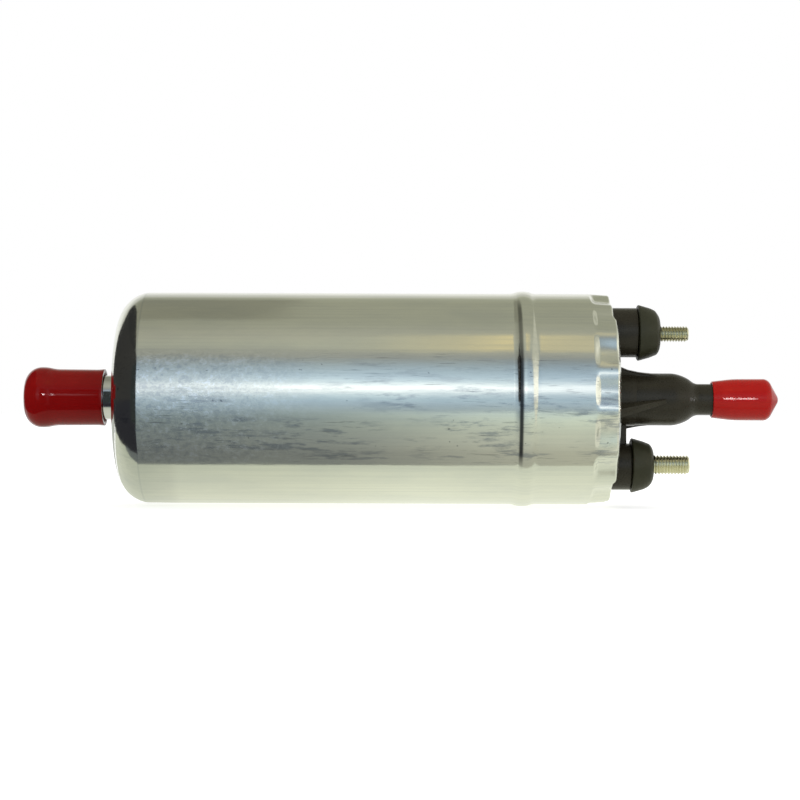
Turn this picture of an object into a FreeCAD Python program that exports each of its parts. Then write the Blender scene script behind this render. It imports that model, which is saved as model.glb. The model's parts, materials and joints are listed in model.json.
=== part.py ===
import FreeCAD, Part
import math
import os

import Sketcher
from FreeCAD import Placement, Rotation, Vector

# An in-line electric fuel pump: a drawn can crimped round a moulded connection cover, with its roller-cell
# pump, motor, valves, terminals and push-on caps, each as a separate piece.
#
# The frame: +X runs along the pump's axis from the inlet to the outlet, +Z is up, and the origin is on the
# axis at the middle of the plain stretch of the can that a mounting clamp goes round. Lengths are
# millimetres.

# Every size that can be set by itself, with what it measures.
SIZES = [
    ("can_diameter", 52.0, "outside of the can"),
    ("can_wall", 1.0, "sheet of the can"),
    ("can_bottom_wall", 1.2, "sheet of the can's closed end"),
    ("dome_radius", 9.5, "outside corner of the closed end"),
    ("seat_length", 87.2, "plain stretch that the clamp goes round"),
    ("bead_width", 4.4, "raised bead, foot to foot"),
    ("bead_height", 0.67, "bead's rise inside the can"),
    ("bead_knee", 1.005, "where the bead's slopes would meet, above the can"),
    ("bead_round", 3.4, "rounded crest of the bead"),
    ("collar_length", 14.3, "plain stretch from the bead to the crimp"),
    ("crimp_length", 5.6, "flattened stretch before the rim"),
    ("crimp_drop", 0.95, "how far the flats' middles come in at the rim"),
    ("crimp_flats", 16, "flats round the crimp"),
    ("lip_width", 3.4, "how far the lip turns in from the can's outside"),
    ("lip_rise", 0.6, "how far the lip's edge stands past the rim"),
    ("rim_bevel", 0.3, "outside bend of the lip"),
    ("nipple_diameter", 11.0, "inlet tube"),
    ("nipple_bore", 8.4, "bore of the inlet tube"),
    ("nipple_length", 21.0, "inlet tube outside the can"),
    ("hose_bead_height", 0.5, "bead that holds the inlet hose"),
    ("hose_bead_width", 3.2, "bead that holds the inlet hose"),
    ("hose_bead_slope", 0.8, "each slope of that bead"),
    ("hose_bead_setback", 1.4, "inlet tube's tip to its bead"),
    ("flange_margin", 1.0, "nipple's flange inside the boss's edge"),
    ("nipple_flange_thickness", 1.6, "flange inside the can"),
    ("gasket_width", 8.0, "inlet gasket"),
    ("gasket_thickness", 0.8, "inlet gasket ring"),
    ("boss_margin", 1.0, "boss inside the flat of the can's closed end"),
    ("boss_length", 6.4, "inlet boss of the suction plate"),
    ("boss_wall", 3.2, "boss round the inlet chamber"),
    ("cup_depth", 7.0, "inlet chamber in the boss"),
    ("strainer_seat_depth", 0.6, "recess for the strainer"),
    ("strainer_thickness", 0.5, "inlet strainer"),
    ("strainer_grip", 0.6, "strainer beyond the chamber's wall"),
    ("suction_plate_thickness", 8.1, "disc of the suction plate"),
    ("plate_gap", 0.2, "pump and motor parts to the can's bore"),
    ("cam_thickness", 6.5, "cam ring"),
    ("cam_eccentricity", 1.1, "cam ring's bore off the axis"),
    ("cam_wall", 1.4, "cam ring between its bore and the screw holes"),
    ("rotor_seal_gap", 0.1, "rotor to cam ring at the closest"),
    ("rotor_side_gap", 0.03, "rotor to each plate"),
    ("rollers", 5, "rollers round the rotor"),
    ("roller_radius", 3.0, "rollers"),
    ("roller_gap", 0.05, "roller to its slot"),
    ("pressure_plate_thickness", 6.0, "pressure plate"),
    ("port_width", 5.4, "kidney ports, across"),
    ("port_margin", 1.0, "kidney ports inside the rotor's edge"),
    ("port_half_angle", 48.0, "kidney ports, degrees each side"),
    ("way_half_angle", 43.0, "way from the inlet chamber to its port, degrees each side"),
    ("screw_setback", 3.5, "pump screws from the plates' edge"),
    ("screw_radius", 1.5, "pump screws"),
    ("screw_head_radius", 2.5, "pump screws"),
    ("screw_head_height", 2.0, "pump screws"),
    ("screw_gap", 0.1, "pump screws to their holes"),
    ("screw_depth", 3.6, "pump screws in the suction plate"),
    ("screws", 4, "pump screws"),
    ("seal_width", 2.4, "section of the pump's seal ring"),
    ("seal_setback", 0.6, "suction plate's front to its seal groove"),
    ("seal_squeeze_gap", 0.05, "seal rings to their seats"),
    ("seal_corner", 0.75, "cut corners of the seal rings"),
    ("relief_setback", 3.1, "relief valve from the inlet chamber's wall"),
    ("relief_bore_radius", 2.6, "relief valve's bore"),
    ("relief_orifice_radius", 1.3, "relief valve's seat"),
    ("relief_seat_depth", 2.0, "relief valve's seat below the plate's face"),
    ("relief_turret_radius", 4.0, "relief valve's turret"),
    ("relief_turret_height", 4.0, "relief valve's turret"),
    ("relief_ball_radius", 2.0, "relief valve's ball"),
    ("relief_plug_length", 1.8, "relief valve's plug"),
    ("relief_plug_hole_radius", 0.9, "relief valve's plug"),
    ("relief_wire", 0.4, "relief valve's spring wire"),
    ("relief_spring_radius", 1.5, "relief valve's spring, to the middle of the wire"),
    ("relief_plug_gap", 0.03, "relief valve's plug to its bore"),
    ("valve_gap", 0.1, "valve balls to their seats and springs"),
    ("shaft_radius", 2.5, "armature shaft"),
    ("shaft_gap", 0.03, "shaft to its bushes"),
    ("shaft_clearance", 0.1, "shaft to the pressure plate"),
    ("shaft_core_radius", 4.0, "shaft under the stack and the commutator"),
    ("shaft_setback", 0.4, "shaft's ends inside what covers them"),
    ("tang_width", 3.0, "flat tang that turns the rotor"),
    ("tang_gap", 0.05, "tang to the rotor"),
    ("bush_radius", 4.0, "outside of both bushes"),
    ("bush_gap", 0.02, "bushes to their seats"),
    ("bush_setback", 1.0, "pump bush behind the pressure plate's face"),
    ("bush_proud", 2.0, "pump bush beyond the pressure plate"),
    ("flux_ring_wall", 2.1, "flux ring"),
    ("magnet_wall", 5.2, "magnets"),
    ("magnet_half_angle", 65.0, "magnets, degrees each side"),
    ("magnet_overhang", 4.0, "magnets beyond each end of the stack"),
    ("magnet_gap", 0.1, "magnets to the flux ring"),
    ("clip_gap", 0.1, "magnet clips to the magnets"),
    ("clip_thickness", 0.6, "magnet clips"),
    ("clip_leg", 4.0, "magnet clips, length of a leg"),
    ("air_gap", 0.6, "armature to the magnets"),
    ("stack_setback", 9.5, "pressure plate to the lamination stack"),
    ("stack_slots", 8, "slots round the stack"),
    ("slot_mouth", 1.8, "opening of a slot"),
    ("core_wall", 3.0, "stack inside its slots"),
    ("tooth_tip", 2.0, "stack outside its slots"),
    ("slot_inner_half_width", 1.3, "half width at a slot's bottom"),
    ("slot_outer_half_width", 3.2, "half width at a slot's top"),
    ("winding_gap", 0.15, "winding to its slots"),
    ("end_turn_length", 7.0, "winding beyond each end of the stack"),
    ("end_turn_setback", 1.6, "winding's heads inside the stack's edge"),
    ("end_turn_gap", 1.4, "winding's heads to the shaft"),
    ("end_turn_round", 2.5, "bevel of the winding's ends"),
    ("commutator_radius", 7.5, "commutator"),
    ("commutator_setback", 3.2, "winding to the commutator"),
    ("commutator_length", 12.0, "commutator"),
    ("commutator_cut", 0.5, "cuts between the commutator's bars"),
    ("commutator_cut_depth", 1.2, "cuts between the commutator's bars"),
    ("riser_height", 1.0, "commutator's riser"),
    ("riser_length", 1.4, "commutator's riser"),
    ("washer_radius", 5.0, "thrust washers"),
    ("washer_thickness", 0.8, "thrust washers"),
    ("washer_gap", 0.05, "thrust washers to each side"),
    ("brush_plate_thickness", 3.5, "disc of the brush plate"),
    ("brush_plate_boss_wall", 2.5, "bearing boss round its bush"),
    ("skirt_length", 20.0, "brush plate's skirt to the flux ring"),
    ("brush_box_width", 9.0, "brush boxes"),
    ("brush_box_overhang", 18.0, "brush boxes ahead of the disc"),
    ("brush_box_wall", 1.6, "front wall of a brush box"),
    ("brush_box_gap", 0.4, "brush boxes to the commutator's riser"),
    ("brush_width", 5.0, "brushes, across"),
    ("brush_depth", 7.0, "brushes, along the shaft"),
    ("brush_spring_room", 4.8, "brushes to the contact strips"),
    ("brush_gap", 0.1, "brushes to the boxes and the commutator"),
    ("brush_wire", 0.5, "brush springs' wire"),
    ("brush_spring_radius", 1.8, "brush springs, to the middle of the wire"),
    ("strip_thickness", 0.8, "contact strips"),
    ("strip_width", 5.0, "contact strips"),
    ("strip_clearance", 0.4, "contact strips to the cover's wall"),
    ("strip_gap", 0.15, "contact strips to the brush plate"),
    ("feed_hole_radius", 3.0, "fuel holes through the brush plate"),
    ("feed_hole_setback", 8.7, "fuel holes from the skirt's wall"),
    ("cover_gap", 0.15, "cover to the can's bore"),
    ("cover_length", 18.5, "cover inside the can, to its face"),
    ("cover_lip_gap", 0.1, "cover to the turned-in lip"),
    ("cover_skirt", 4.4, "cover's wall, to the can's bore"),
    ("cover_cavity_depth", 8.3, "chamber inside the cover"),
    ("cover_face_drop", 0.5, "cover's face behind the lip's edge"),
    ("cover_ring_width", 2.6, "section of the cover's seal ring"),
    ("cover_ring_setback", 4.4, "cover's inner end to its seal groove"),
    ("tower_margin", 0.3, "terminal towers inside the lip"),
    ("tower_radius", 6.1, "terminal towers"),
    ("tower_root", 2.0, "towers and housing below the cover's face"),
    ("spigot_radius", 4.9, "spigots inside the boots"),
    ("spigot_length", 3.2, "spigots inside the boots"),
    ("upper_tower_height", 6.5, "upper tower above the cover's face"),
    ("lower_tower_height", 5.5, "lower tower above the cover's face"),
    ("outlet_wall", 2.55, "outlet housing round its chamber"),
    ("outlet_length", 17.4, "outlet housing above the cover's face"),
    ("outlet_shoulder", 3.5, "slope from the housing to the nozzle"),
    ("outlet_round", 4.0, "housing's rounded shoulder"),
    ("nozzle_round", 1.0, "fillet at the nozzle's root"),
    ("nozzle_wall", 1.65, "outlet nozzle round its bore"),
    ("nozzle_length", 17.4, "outlet nozzle beyond the slope"),
    ("nozzle_bead_height", 0.15, "bead that holds the outlet hose"),
    ("nozzle_bead_width", 2.6, "bead that holds the outlet hose"),
    ("nozzle_bead_slope", 0.87, "slope up to that bead"),
    ("nozzle_bead_setback", 2.4, "nozzle's tip to its bead"),
    ("nozzle_tip_drop", 0.45, "nozzle's tip below its outside"),
    ("nozzle_bore_radius", 2.2, "nozzle's bore"),
    ("chamber_radius", 3.9, "outlet valve's chamber"),
    ("chamber_length", 15.0, "outlet valve's chamber above the cover's face"),
    ("gusset_length", 14.0, "webs along the outlet housing"),
    ("gusset_reach", 3.2, "webs beyond the housing at their root"),
    ("gusset_knee_height", 4.0, "webs' bend above the cover's face"),
    ("gusset_knee_reach", 0.75, "webs beyond the housing at the bend"),
    ("gusset_knee_round", 8.0, "webs' bend"),
    ("gusset_thickness", 1.8, "webs along the outlet housing"),
    ("gusset_turn", 20.0, "webs turned from upright, degrees"),
    ("gussets", 4, "webs round the outlet housing"),
    ("web_height", 4.0, "web between the housing and the lower tower"),
    ("web_thickness", 2.6, "web between the housing and the lower tower"),
    ("valve_seat_length", 10.0, "outlet valve's seat"),
    ("valve_seat_bore_radius", 2.2, "outlet valve's seat"),
    ("valve_ball_radius", 3.2, "outlet valve's ball"),
    ("valve_wire", 0.6, "outlet valve's spring wire"),
    ("valve_spring_radius", 2.5, "outlet valve's spring, to the middle of the wire"),
    ("upper_thread_radius", 2.0, "upper stud's thread"),
    ("upper_thread_length", 7.4, "upper stud beyond its boot"),
    ("lower_thread_radius", 2.5, "lower stud's thread"),
    ("lower_thread_length", 9.1, "lower stud beyond its boot"),
    ("shank_gap", 0.05, "studs to the moulded cover"),
    ("thread_relief", 0.35, "shank below the thread's radius"),
    ("thread_chamfer", 0.5, "studs' tips"),
    ("stud_head_radius", 3.8, "studs' heads, to a corner"),
    ("stud_head_height", 2.5, "studs' heads"),
    ("boot_back_chamfer", 0.7, "sloping back of the boots' rim"),
    ("boot_round", 2.2, "boots' rounded crown"),
    ("boot_gap", 0.1, "boots to their spigots and towers"),
    ("boot_hole_gap", 0.12, "boots to the studs' threads"),
    ("upper_boot_radius", 6.85, "upper boot's rim"),
    ("upper_boot_length", 5.5, "upper boot, back to front"),
    ("lower_boot_radius", 6.7, "lower boot's rim"),
    ("lower_boot_length", 5.1, "lower boot, back to front"),
    ("boot_taper", 0.6, "boots' rim to their crown"),
    ("inlet_cap_radius", 6.9, "inlet cap's skirt"),
    ("inlet_cap_bulge_radius", 7.4, "inlet cap's head"),
    ("inlet_cap_length", 19.6, "inlet cap"),
    ("inlet_cap_head", 7.6, "inlet cap's head, end to neck"),
    ("inlet_cap_bulge", 5.4, "inlet cap's widest ring, from its end"),
    ("inlet_cap_end_wall", 2.4, "inlet cap's end"),
    ("inlet_cap_round", 4.2, "inlet cap's rounded end"),
    ("outlet_cap_radius", 5.07, "outlet cap"),
    ("outlet_cap_shoulder_round", 1.2, "outlet cap's shoulder"),
    ("outlet_cap_mouth_radius", 4.45, "outlet cap's open end"),
    ("outlet_cap_length", 16.5, "outlet cap"),
    ("outlet_cap_taper", 5.2, "outlet cap's tapered start"),
    ("outlet_cap_nose", 2.6, "outlet cap's cone"),
    ("outlet_cap_nose_radius", 0.6, "outlet cap's tip"),
    ("outlet_cap_overlap", 13.3, "nozzle's length inside the outlet cap"),
    ("cap_gap", 0.1, "caps to the hose beads and tips"),
]


class Size:
    """A number together with the expression that gives it from the sheet's cells."""

    def __init__(self, number, text):
        self.number = float(number)
        self.text = text

    def __add__(self, other):
        other = size(other)
        return Size(self.number + other.number, f"({self.text} + {other.text})")

    def __sub__(self, other):
        other = size(other)
        return Size(self.number - other.number, f"({self.text} - {other.text})")

    def __mul__(self, other):
        other = size(other)
        return Size(self.number * other.number, f"({self.text} * {other.text})")

    def __truediv__(self, other):
        other = size(other)
        return Size(self.number / other.number, f"({self.text} / {other.text})")

    def __neg__(self):
        return Size(-self.number, f"(-1 * {self.text})")

    __radd__ = __add__
    __rmul__ = __mul__

    def __rsub__(self, other):
        return size(other) - self

    def root(self):
        return Size(math.sqrt(self.number), f"sqrt({self.text})")

    def cos(self):
        return Size(math.cos(math.radians(self.number)), f"cos({self.text} * 1 deg)")

    def sin(self):
        return Size(math.sin(math.radians(self.number)), f"sin({self.text} * 1 deg)")


def size(value):
    """A plain number as a Size, or a Size as it is."""
    return value if isinstance(value, Size) else Size(value, repr(float(value)))


class Sheet:
    """The document's spreadsheet, read by alias as attributes."""

    def __init__(self, doc):
        cells = doc.addObject("Spreadsheet::Sheet", "Sizes")
        for row, (alias, value, note) in enumerate(SIZES, start=1):
            cells.set(f"A{row}", str(value))
            cells.setAlias(f"A{row}", alias)
            cells.set(f"B{row}", note)
            setattr(self, alias, Size(value, f"Sizes.{alias}"))
        doc.recompute()


DOC = FreeCAD.newDocument("FuelPump")
S = Sheet(DOC)
PIECES = []
WHOLE_TURN = 360.0
RIGHT_ANGLE = 90.0
CHORD = 1 - math.sqrt(0.5)
RADIAN = math.degrees(1)
RELIEF_TURNS = 3
BRUSH_TURNS = 3
VALVE_TURNS = 4
BRUSHES = 2
FEED_HOLES = 2
HEXAGON = 6

# Directions round the axis, in degrees from straight behind it.
REAR = 0.0
TOP = 90.0
FRONT = 180.0
UNDERNEATH = 270.0


def bind(thing, name, value):
    """Sets a property from a Size, so that it follows the sheet."""
    thing.setExpression(name, size(value).text)


def place(thing, x=0, y=0, z=0, turn=None):
    """Gives an object its Placement, with the position bound to the sheet."""
    start = Vector(size(x).number, size(y).number, size(z).number)
    thing.Placement = Placement(start, turn or Rotation())
    for name, value in (("x", x), ("y", y), ("z", z)):
        bind(thing, f"Placement.Base.{name}", value)


def new_body(label, x=0, y=0, z=0, turn=None):
    """An empty body with its label and Placement."""
    body = DOC.addObject("PartDesign::Body", label)
    body.Label = label
    place(body, x, y, z, turn)
    PIECES.append(body)
    return body


def origin_part(body, role):
    """One of a body's own origin planes or axes."""
    return [part for part in body.Origin.OriginFeatures if part.Role == role][0]


def new_sketch(body, role, name, offset=0, turn=0):
    """A sketch on one of the body's origin planes, moved along its normal or turned about its first axis."""
    sketch = body.newObject("Sketcher::SketchObject", name)
    sketch.AttachmentSupport = [(origin_part(body, role), "")]
    sketch.MapMode = "FlatFace"
    lean = Rotation(Vector(1, 0, 0), size(turn).number)
    sketch.AttachmentOffset = Placement(Vector(0, 0, size(offset).number), lean)
    if isinstance(offset, Size):
        bind(sketch, "AttachmentOffset.Base.z", offset)
    if isinstance(turn, Size):
        bind(sketch, "AttachmentOffset.Rotation.Angle", turn)
    return sketch


def side_sketch(body, name, turn=0):
    """A sketch in the plane of the axis: its first axis is the pump's axis, its second the radius."""
    return new_sketch(body, "XY_Plane", name, turn=turn)


def cross_sketch(body, name, offset=0):
    """A sketch square to the axis, at a distance along it: its axes are Y and Z."""
    return new_sketch(body, "YZ_Plane", name, offset=offset)


def hold(sketch, geometry, point, x, y):
    """Constrains a point of a sketch to a place, by Sizes."""
    for kind, axis, value in (("DistanceX", -2, size(x)), ("DistanceY", -1, size(y))):
        if value.text == "0.0":
            sketch.addConstraint(Sketcher.Constraint("PointOnObject", geometry, point, axis))
        elif value.number < 0:
            rule = Sketcher.Constraint(kind, geometry, point, -1, 1, -value.number)
            bind(sketch, f"Constraints[{sketch.addConstraint(rule)}]", -value)
        else:
            rule = Sketcher.Constraint(kind, -1, 1, geometry, point, value.number)
            bind(sketch, f"Constraints[{sketch.addConstraint(rule)}]", value)


def draw_circle(sketch, radius, x=0, y=0):
    """A circle of a given radius and centre."""
    centre = Vector(size(x).number, size(y).number, 0)
    circle = Part.Circle(centre, Vector(0, 0, 1), size(radius).number)
    index = sketch.addGeometry(circle, False)
    if size(x).text == "0.0" and size(y).text == "0.0":
        sketch.addConstraint(Sketcher.Constraint("Coincident", index, 3, -1, 1))
    else:
        hold(sketch, index, 3, x, y)
    rule = sketch.addConstraint(Sketcher.Constraint("Radius", index, size(radius).number))
    bind(sketch, f"Constraints[{rule}]", radius)


def corner_arc(before, corner, after, radius):
    """Where a rounding of a corner starts and ends, its centre, and whether it turns left."""
    back = (before - corner).normalize()
    ahead = (after - corner).normalize()
    half = back.getAngle(ahead) / 2
    reach = radius / math.tan(half)
    middle = (back + ahead).normalize()
    centre = corner + middle * (radius / math.sin(half))
    left = back.cross(ahead).z < 0
    return corner + back * reach, corner + ahead * reach, centre, left


def draw_outline(sketch, corners):
    """A closed outline of straight runs. Each corner is (x, y), or (x, y, radius) where it is rounded."""
    points = [Vector(size(c[0]).number, size(c[1]).number, 0) for c in corners]
    count = len(corners)
    rounds = {}
    for i, corner in enumerate(corners):
        if len(corner) == 3:
            rounds[i] = corner_arc(points[i - 1], points[i], points[(i + 1) % count], size(corner[2]).number)
    lines = []
    for i in range(count):
        start = rounds[i][1] if i in rounds else points[i]
        after = (i + 1) % count
        end = rounds[after][0] if after in rounds else points[after]
        lines.append(sketch.addGeometry(Part.LineSegment(start, end), False))
    for i, corner in enumerate(corners):
        before, after = lines[i - 1], lines[i]
        if i not in rounds:
            sketch.addConstraint(Sketcher.Constraint("Coincident", before, 2, after, 1))
            hold(sketch, after, 1, corner[0], corner[1])
            continue
        start, end, centre, left = rounds[i]
        radius = size(corner[2])
        first, last = (start, end) if left else (end, start)
        angles = [math.atan2(p.y - centre.y, p.x - centre.x) for p in (first, last)]
        circle = Part.Circle(centre, Vector(0, 0, 1), radius.number)
        arc = sketch.addGeometry(Part.ArcOfCircle(circle, angles[0], angles[1]), False)
        joins = ((before, 2, 1), (after, 1, 2)) if left else ((before, 2, 2), (after, 1, 1))
        for line, line_end, arc_end in joins:
            sketch.addConstraint(Sketcher.Constraint("Tangent", line, line_end, arc, arc_end))
        point = sketch.addGeometry(Part.Point(points[i]), True)
        for line in (before, after):
            sketch.addConstraint(Sketcher.Constraint("PointOnObject", point, 1, line))
        hold(sketch, point, 1, corner[0], corner[1])
        rule = sketch.addConstraint(Sketcher.Constraint("Radius", arc, radius.number))
        bind(sketch, f"Constraints[{rule}]", radius)


def draw_sector(sketch, inner, outer, half_angle, middle=REAR):
    """A piece of a ring about the sketch's origin, half_angle to each side of a direction in degrees."""
    inner, outer, half_angle = size(inner), size(outer), size(half_angle)
    low, high = size(middle) - half_angle, size(middle) + half_angle
    ends = []
    arcs = []
    for radius in (inner, outer):
        circle = Part.Circle(Vector(0, 0, 0), Vector(0, 0, 1), radius.number)
        span = (math.radians(low.number), math.radians(high.number))
        arc = sketch.addGeometry(Part.ArcOfCircle(circle, *span), False)
        sketch.addConstraint(Sketcher.Constraint("Coincident", arc, 3, -1, 1))
        rule = sketch.addConstraint(Sketcher.Constraint("Radius", arc, radius.number))
        bind(sketch, f"Constraints[{rule}]", radius)
        arcs.append(arc)
        ends.append([Vector(radius.number * math.cos(a), radius.number * math.sin(a), 0) for a in span])
    for side, angle in ((0, low), (1, high)):
        line = sketch.addGeometry(Part.LineSegment(ends[0][side], ends[1][side]), False)
        sketch.addConstraint(Sketcher.Constraint("Coincident", line, 1, arcs[0], side + 1))
        sketch.addConstraint(Sketcher.Constraint("Coincident", line, 2, arcs[1], side + 1))
        sketch.addConstraint(Sketcher.Constraint("PointOnObject", -1, 1, line))
        rule = sketch.addConstraint(Sketcher.Constraint("Angle", line, math.radians(angle.number)))
        bind(sketch, f"Constraints[{rule}]", angle * Size(1.0, "1 deg"))


def turned(body, sketch, axis="H_Axis", kind="Revolution"):
    """A solid, or with kind Groove a cut, made by turning the sketch about its axis."""
    feature = body.newObject(f"PartDesign::{kind}", kind)
    feature.Profile = sketch
    feature.ReferenceAxis = (sketch, [axis])
    feature.Angle = WHOLE_TURN
    sketch.Visibility = False
    return feature


def pad(body, sketch, length, both_ways=False, backwards=False):
    """Material of a given length, from the sketch."""
    feature = body.newObject("PartDesign::Pad", "Pad")
    feature.Profile = sketch
    bind(feature, "Length", length)
    feature.Midplane = both_ways
    feature.Reversed = backwards
    return feature


def pocket(body, sketch, length, both_ways=False, forwards=False):
    """A cut of a given length from the sketch, towards -X on a cross sketch, or +X with forwards."""
    feature = body.newObject("PartDesign::Pocket", "Pocket")
    feature.Profile = sketch
    bind(feature, "Length", length)
    feature.Midplane = both_ways
    feature.Reversed = forwards
    return feature


def round_pattern(body, features, count):
    """The features repeated evenly about the pump's axis."""
    pattern = body.newObject("PartDesign::PolarPattern", "PolarPattern")
    pattern.Originals = features
    pattern.Axis = (origin_part(body, "X_Axis"), [""])
    pattern.Angle = WHOLE_TURN
    bind(pattern, "Occurrences", count)
    body.Tip = pattern
    return pattern


def turned_body(label, corners, x=0, y=0, z=0, turn=None):
    """A body turned from one outline of (along the axis, radius) corners."""
    body = new_body(label, x, y, z, turn)
    sketch = side_sketch(body, "Outline")
    draw_outline(sketch, corners)
    turned(body, sketch)
    return body


def ring_corners(inner, outer, length):
    """The outline of a plain ring."""
    return [(0, inner), (0, outer), (length, outer), (length, inner)]


# Places along the axis, from the can's closed end to the outlet.
CAN_RADIUS = S.can_diameter / 2
BORE_RADIUS = CAN_RADIUS - S.can_wall
PLATE_RADIUS = BORE_RADIUS - S.plate_gap
X_BOTTOM = -(S.seat_length / 2 + S.dome_radius)
X_BEAD = S.seat_length / 2
X_COLLAR = X_BEAD + S.bead_width
X_CRIMP = X_COLLAR + S.collar_length
X_RIM = X_CRIMP + S.crimp_length
X_LIP = X_RIM + S.lip_rise
X_FACE = X_LIP - S.cover_face_drop
X_COVER = X_FACE - S.cover_length
X_FLOOR = X_COVER + S.cover_cavity_depth
X_FLANGE = X_BOTTOM + S.can_bottom_wall + S.gasket_thickness
X_BOSS = X_FLANGE + S.nipple_flange_thickness
X_SUCTION = X_BOSS + S.boss_length
X_CAM = X_SUCTION + S.suction_plate_thickness
X_PRESSURE = X_CAM + S.cam_thickness
X_MOTOR = X_PRESSURE + S.pressure_plate_thickness
X_BRUSH_PLATE = X_COVER - S.brush_plate_thickness
X_FLUX_END = X_BRUSH_PLATE - S.skirt_length
X_BRUSH_BOX = X_BRUSH_PLATE - S.brush_box_overhang
X_BRUSH = X_BRUSH_BOX + S.brush_box_wall + S.brush_gap + S.brush_depth / 2
X_COMMUTATOR = X_BRUSH - S.commutator_length / 2
X_COMMUTATOR_END = X_COMMUTATOR + S.commutator_length
X_STACK = X_MOTOR + S.stack_setback
STACK_LENGTH = X_COMMUTATOR - S.commutator_setback - S.end_turn_length - X_STACK
MAGNET_LENGTH = STACK_LENGTH + S.magnet_overhang * 2
X_SHAFT_CORE = X_MOTOR + S.bush_proud + S.washer_gap * 2 + S.washer_thickness
X_COVER_BUSH = X_COMMUTATOR_END + S.washer_gap * 2 + S.washer_thickness
X_NOZZLE = X_FACE + S.outlet_length + S.outlet_shoulder
X_NOZZLE_END = X_NOZZLE + S.nozzle_length
X_UPPER_TOWER = X_FACE + S.upper_tower_height
X_LOWER_TOWER = X_FACE + S.lower_tower_height

# Radii that several pieces share.
MAGNET_OUTER = PLATE_RADIUS - S.flux_ring_wall - S.magnet_gap
MAGNET_INNER = MAGNET_OUTER - S.magnet_wall
STACK_RADIUS = MAGNET_INNER - S.air_gap
SCREW_HOLE_RADIUS = S.screw_radius + S.screw_gap
SCREW_CIRCLE = PLATE_RADIUS - S.screw_setback
CAM_BORE_RADIUS = SCREW_CIRCLE - SCREW_HOLE_RADIUS - S.cam_wall - S.cam_eccentricity
ROTOR_RADIUS = CAM_BORE_RADIUS - S.cam_eccentricity - S.rotor_seal_gap
PORT_OUTER = ROTOR_RADIUS - S.port_margin
PORT_INNER = PORT_OUTER - S.port_width
ROLLER_CIRCLE = ROTOR_RADIUS - S.roller_radius - S.roller_gap * 2
BOSS_RADIUS = CAN_RADIUS - S.dome_radius - S.boss_margin
CUP_RADIUS = BOSS_RADIUS - S.boss_wall
FLANGE_RADIUS = BOSS_RADIUS - S.flange_margin
RELIEF_CIRCLE = CUP_RADIUS - S.relief_setback
HEAD_RADIUS = STACK_RADIUS - S.end_turn_setback
HEAD_BORE = S.shaft_core_radius + S.end_turn_gap
TANG_HEIGHT = ((S.shaft_radius * S.shaft_radius) - (S.tang_width / 2) * (S.tang_width / 2)).root() * 2
LIP_RADIUS = CAN_RADIUS - S.lip_width
TOWER_OFFSET = LIP_RADIUS - S.tower_radius - S.tower_margin
CAVITY_RADIUS = BORE_RADIUS - S.cover_skirt
STRIP_RADIUS = CAVITY_RADIUS - S.strip_clearance - S.strip_thickness
BRUSH_BOX_RADIUS = S.commutator_radius + S.riser_height + S.brush_box_gap
BRUSH_LENGTH = STRIP_RADIUS - S.brush_spring_room - S.commutator_radius - S.brush_gap
FEED_HOLE_CIRCLE = PLATE_RADIUS - S.flux_ring_wall - S.feed_hole_setback
OUTLET_RADIUS = S.chamber_radius + S.outlet_wall
NOZZLE_RADIUS = S.nozzle_bore_radius + S.nozzle_wall
NOZZLE_BEAD_RADIUS = NOZZLE_RADIUS + S.nozzle_bead_height
HOSE_BEAD_RADIUS = S.nipple_diameter / 2 + S.hose_bead_height
UPWARD = Rotation(Vector(0, 1, 0), -RIGHT_ANGLE)
DOWNWARD = Rotation(Vector(0, 1, 0), RIGHT_ANGLE)
SPARE = 1.0


def can():
    """The drawn can: closed end, clamp seat, bead, and the rim crimped in flats and turned in."""
    slope = S.crimp_drop / S.crimp_length
    rim_radius = CAN_RADIUS - S.crimp_drop / 2
    inside_bottom = X_BOTTOM + S.can_bottom_wall
    corner = S.dome_radius - S.can_wall
    outside = [
        (X_BOTTOM, S.nipple_diameter / 2 + S.seal_squeeze_gap),
        (X_BOTTOM, CAN_RADIUS, S.dome_radius),
        (X_BEAD, CAN_RADIUS),
        (X_BEAD + S.bead_width / 2, CAN_RADIUS + S.bead_knee, S.bead_round),
        (X_COLLAR, CAN_RADIUS),
        (X_CRIMP, CAN_RADIUS),
        (X_RIM - S.rim_bevel, rim_radius + S.rim_bevel * slope / 2),
        (X_RIM, rim_radius - S.rim_bevel),
        (X_LIP, LIP_RADIUS),
    ]
    inside = [
        (X_LIP - S.can_wall, LIP_RADIUS),
        (X_RIM - S.can_wall, BORE_RADIUS - S.crimp_drop),
        (X_CRIMP, BORE_RADIUS),
        (X_COLLAR, BORE_RADIUS),
        (X_BEAD + S.bead_width / 2, BORE_RADIUS + S.bead_height),
        (X_BEAD, BORE_RADIUS),
        (inside_bottom + corner, BORE_RADIUS),
        (inside_bottom + corner * CHORD, BORE_RADIUS - corner * CHORD),
        (inside_bottom, BORE_RADIUS - corner),
        (inside_bottom, S.nipple_diameter / 2 + S.seal_squeeze_gap),
    ]
    body = turned_body("can", outside + inside)
    flat = side_sketch(body, "CrimpFlat")
    draw_outline(flat, [
        (X_CRIMP - SPARE, CAN_RADIUS + slope * SPARE),
        (X_CRIMP - SPARE, CAN_RADIUS + S.crimp_drop * 2),
        (X_LIP + SPARE, CAN_RADIUS + S.crimp_drop * 2),
        (X_LIP + SPARE, CAN_RADIUS - slope * (X_LIP + SPARE - X_CRIMP)),
    ])
    cut = pocket(body, flat, CAN_RADIUS, both_ways=True)
    round_pattern(body, [cut], S.crimp_flats)


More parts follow.
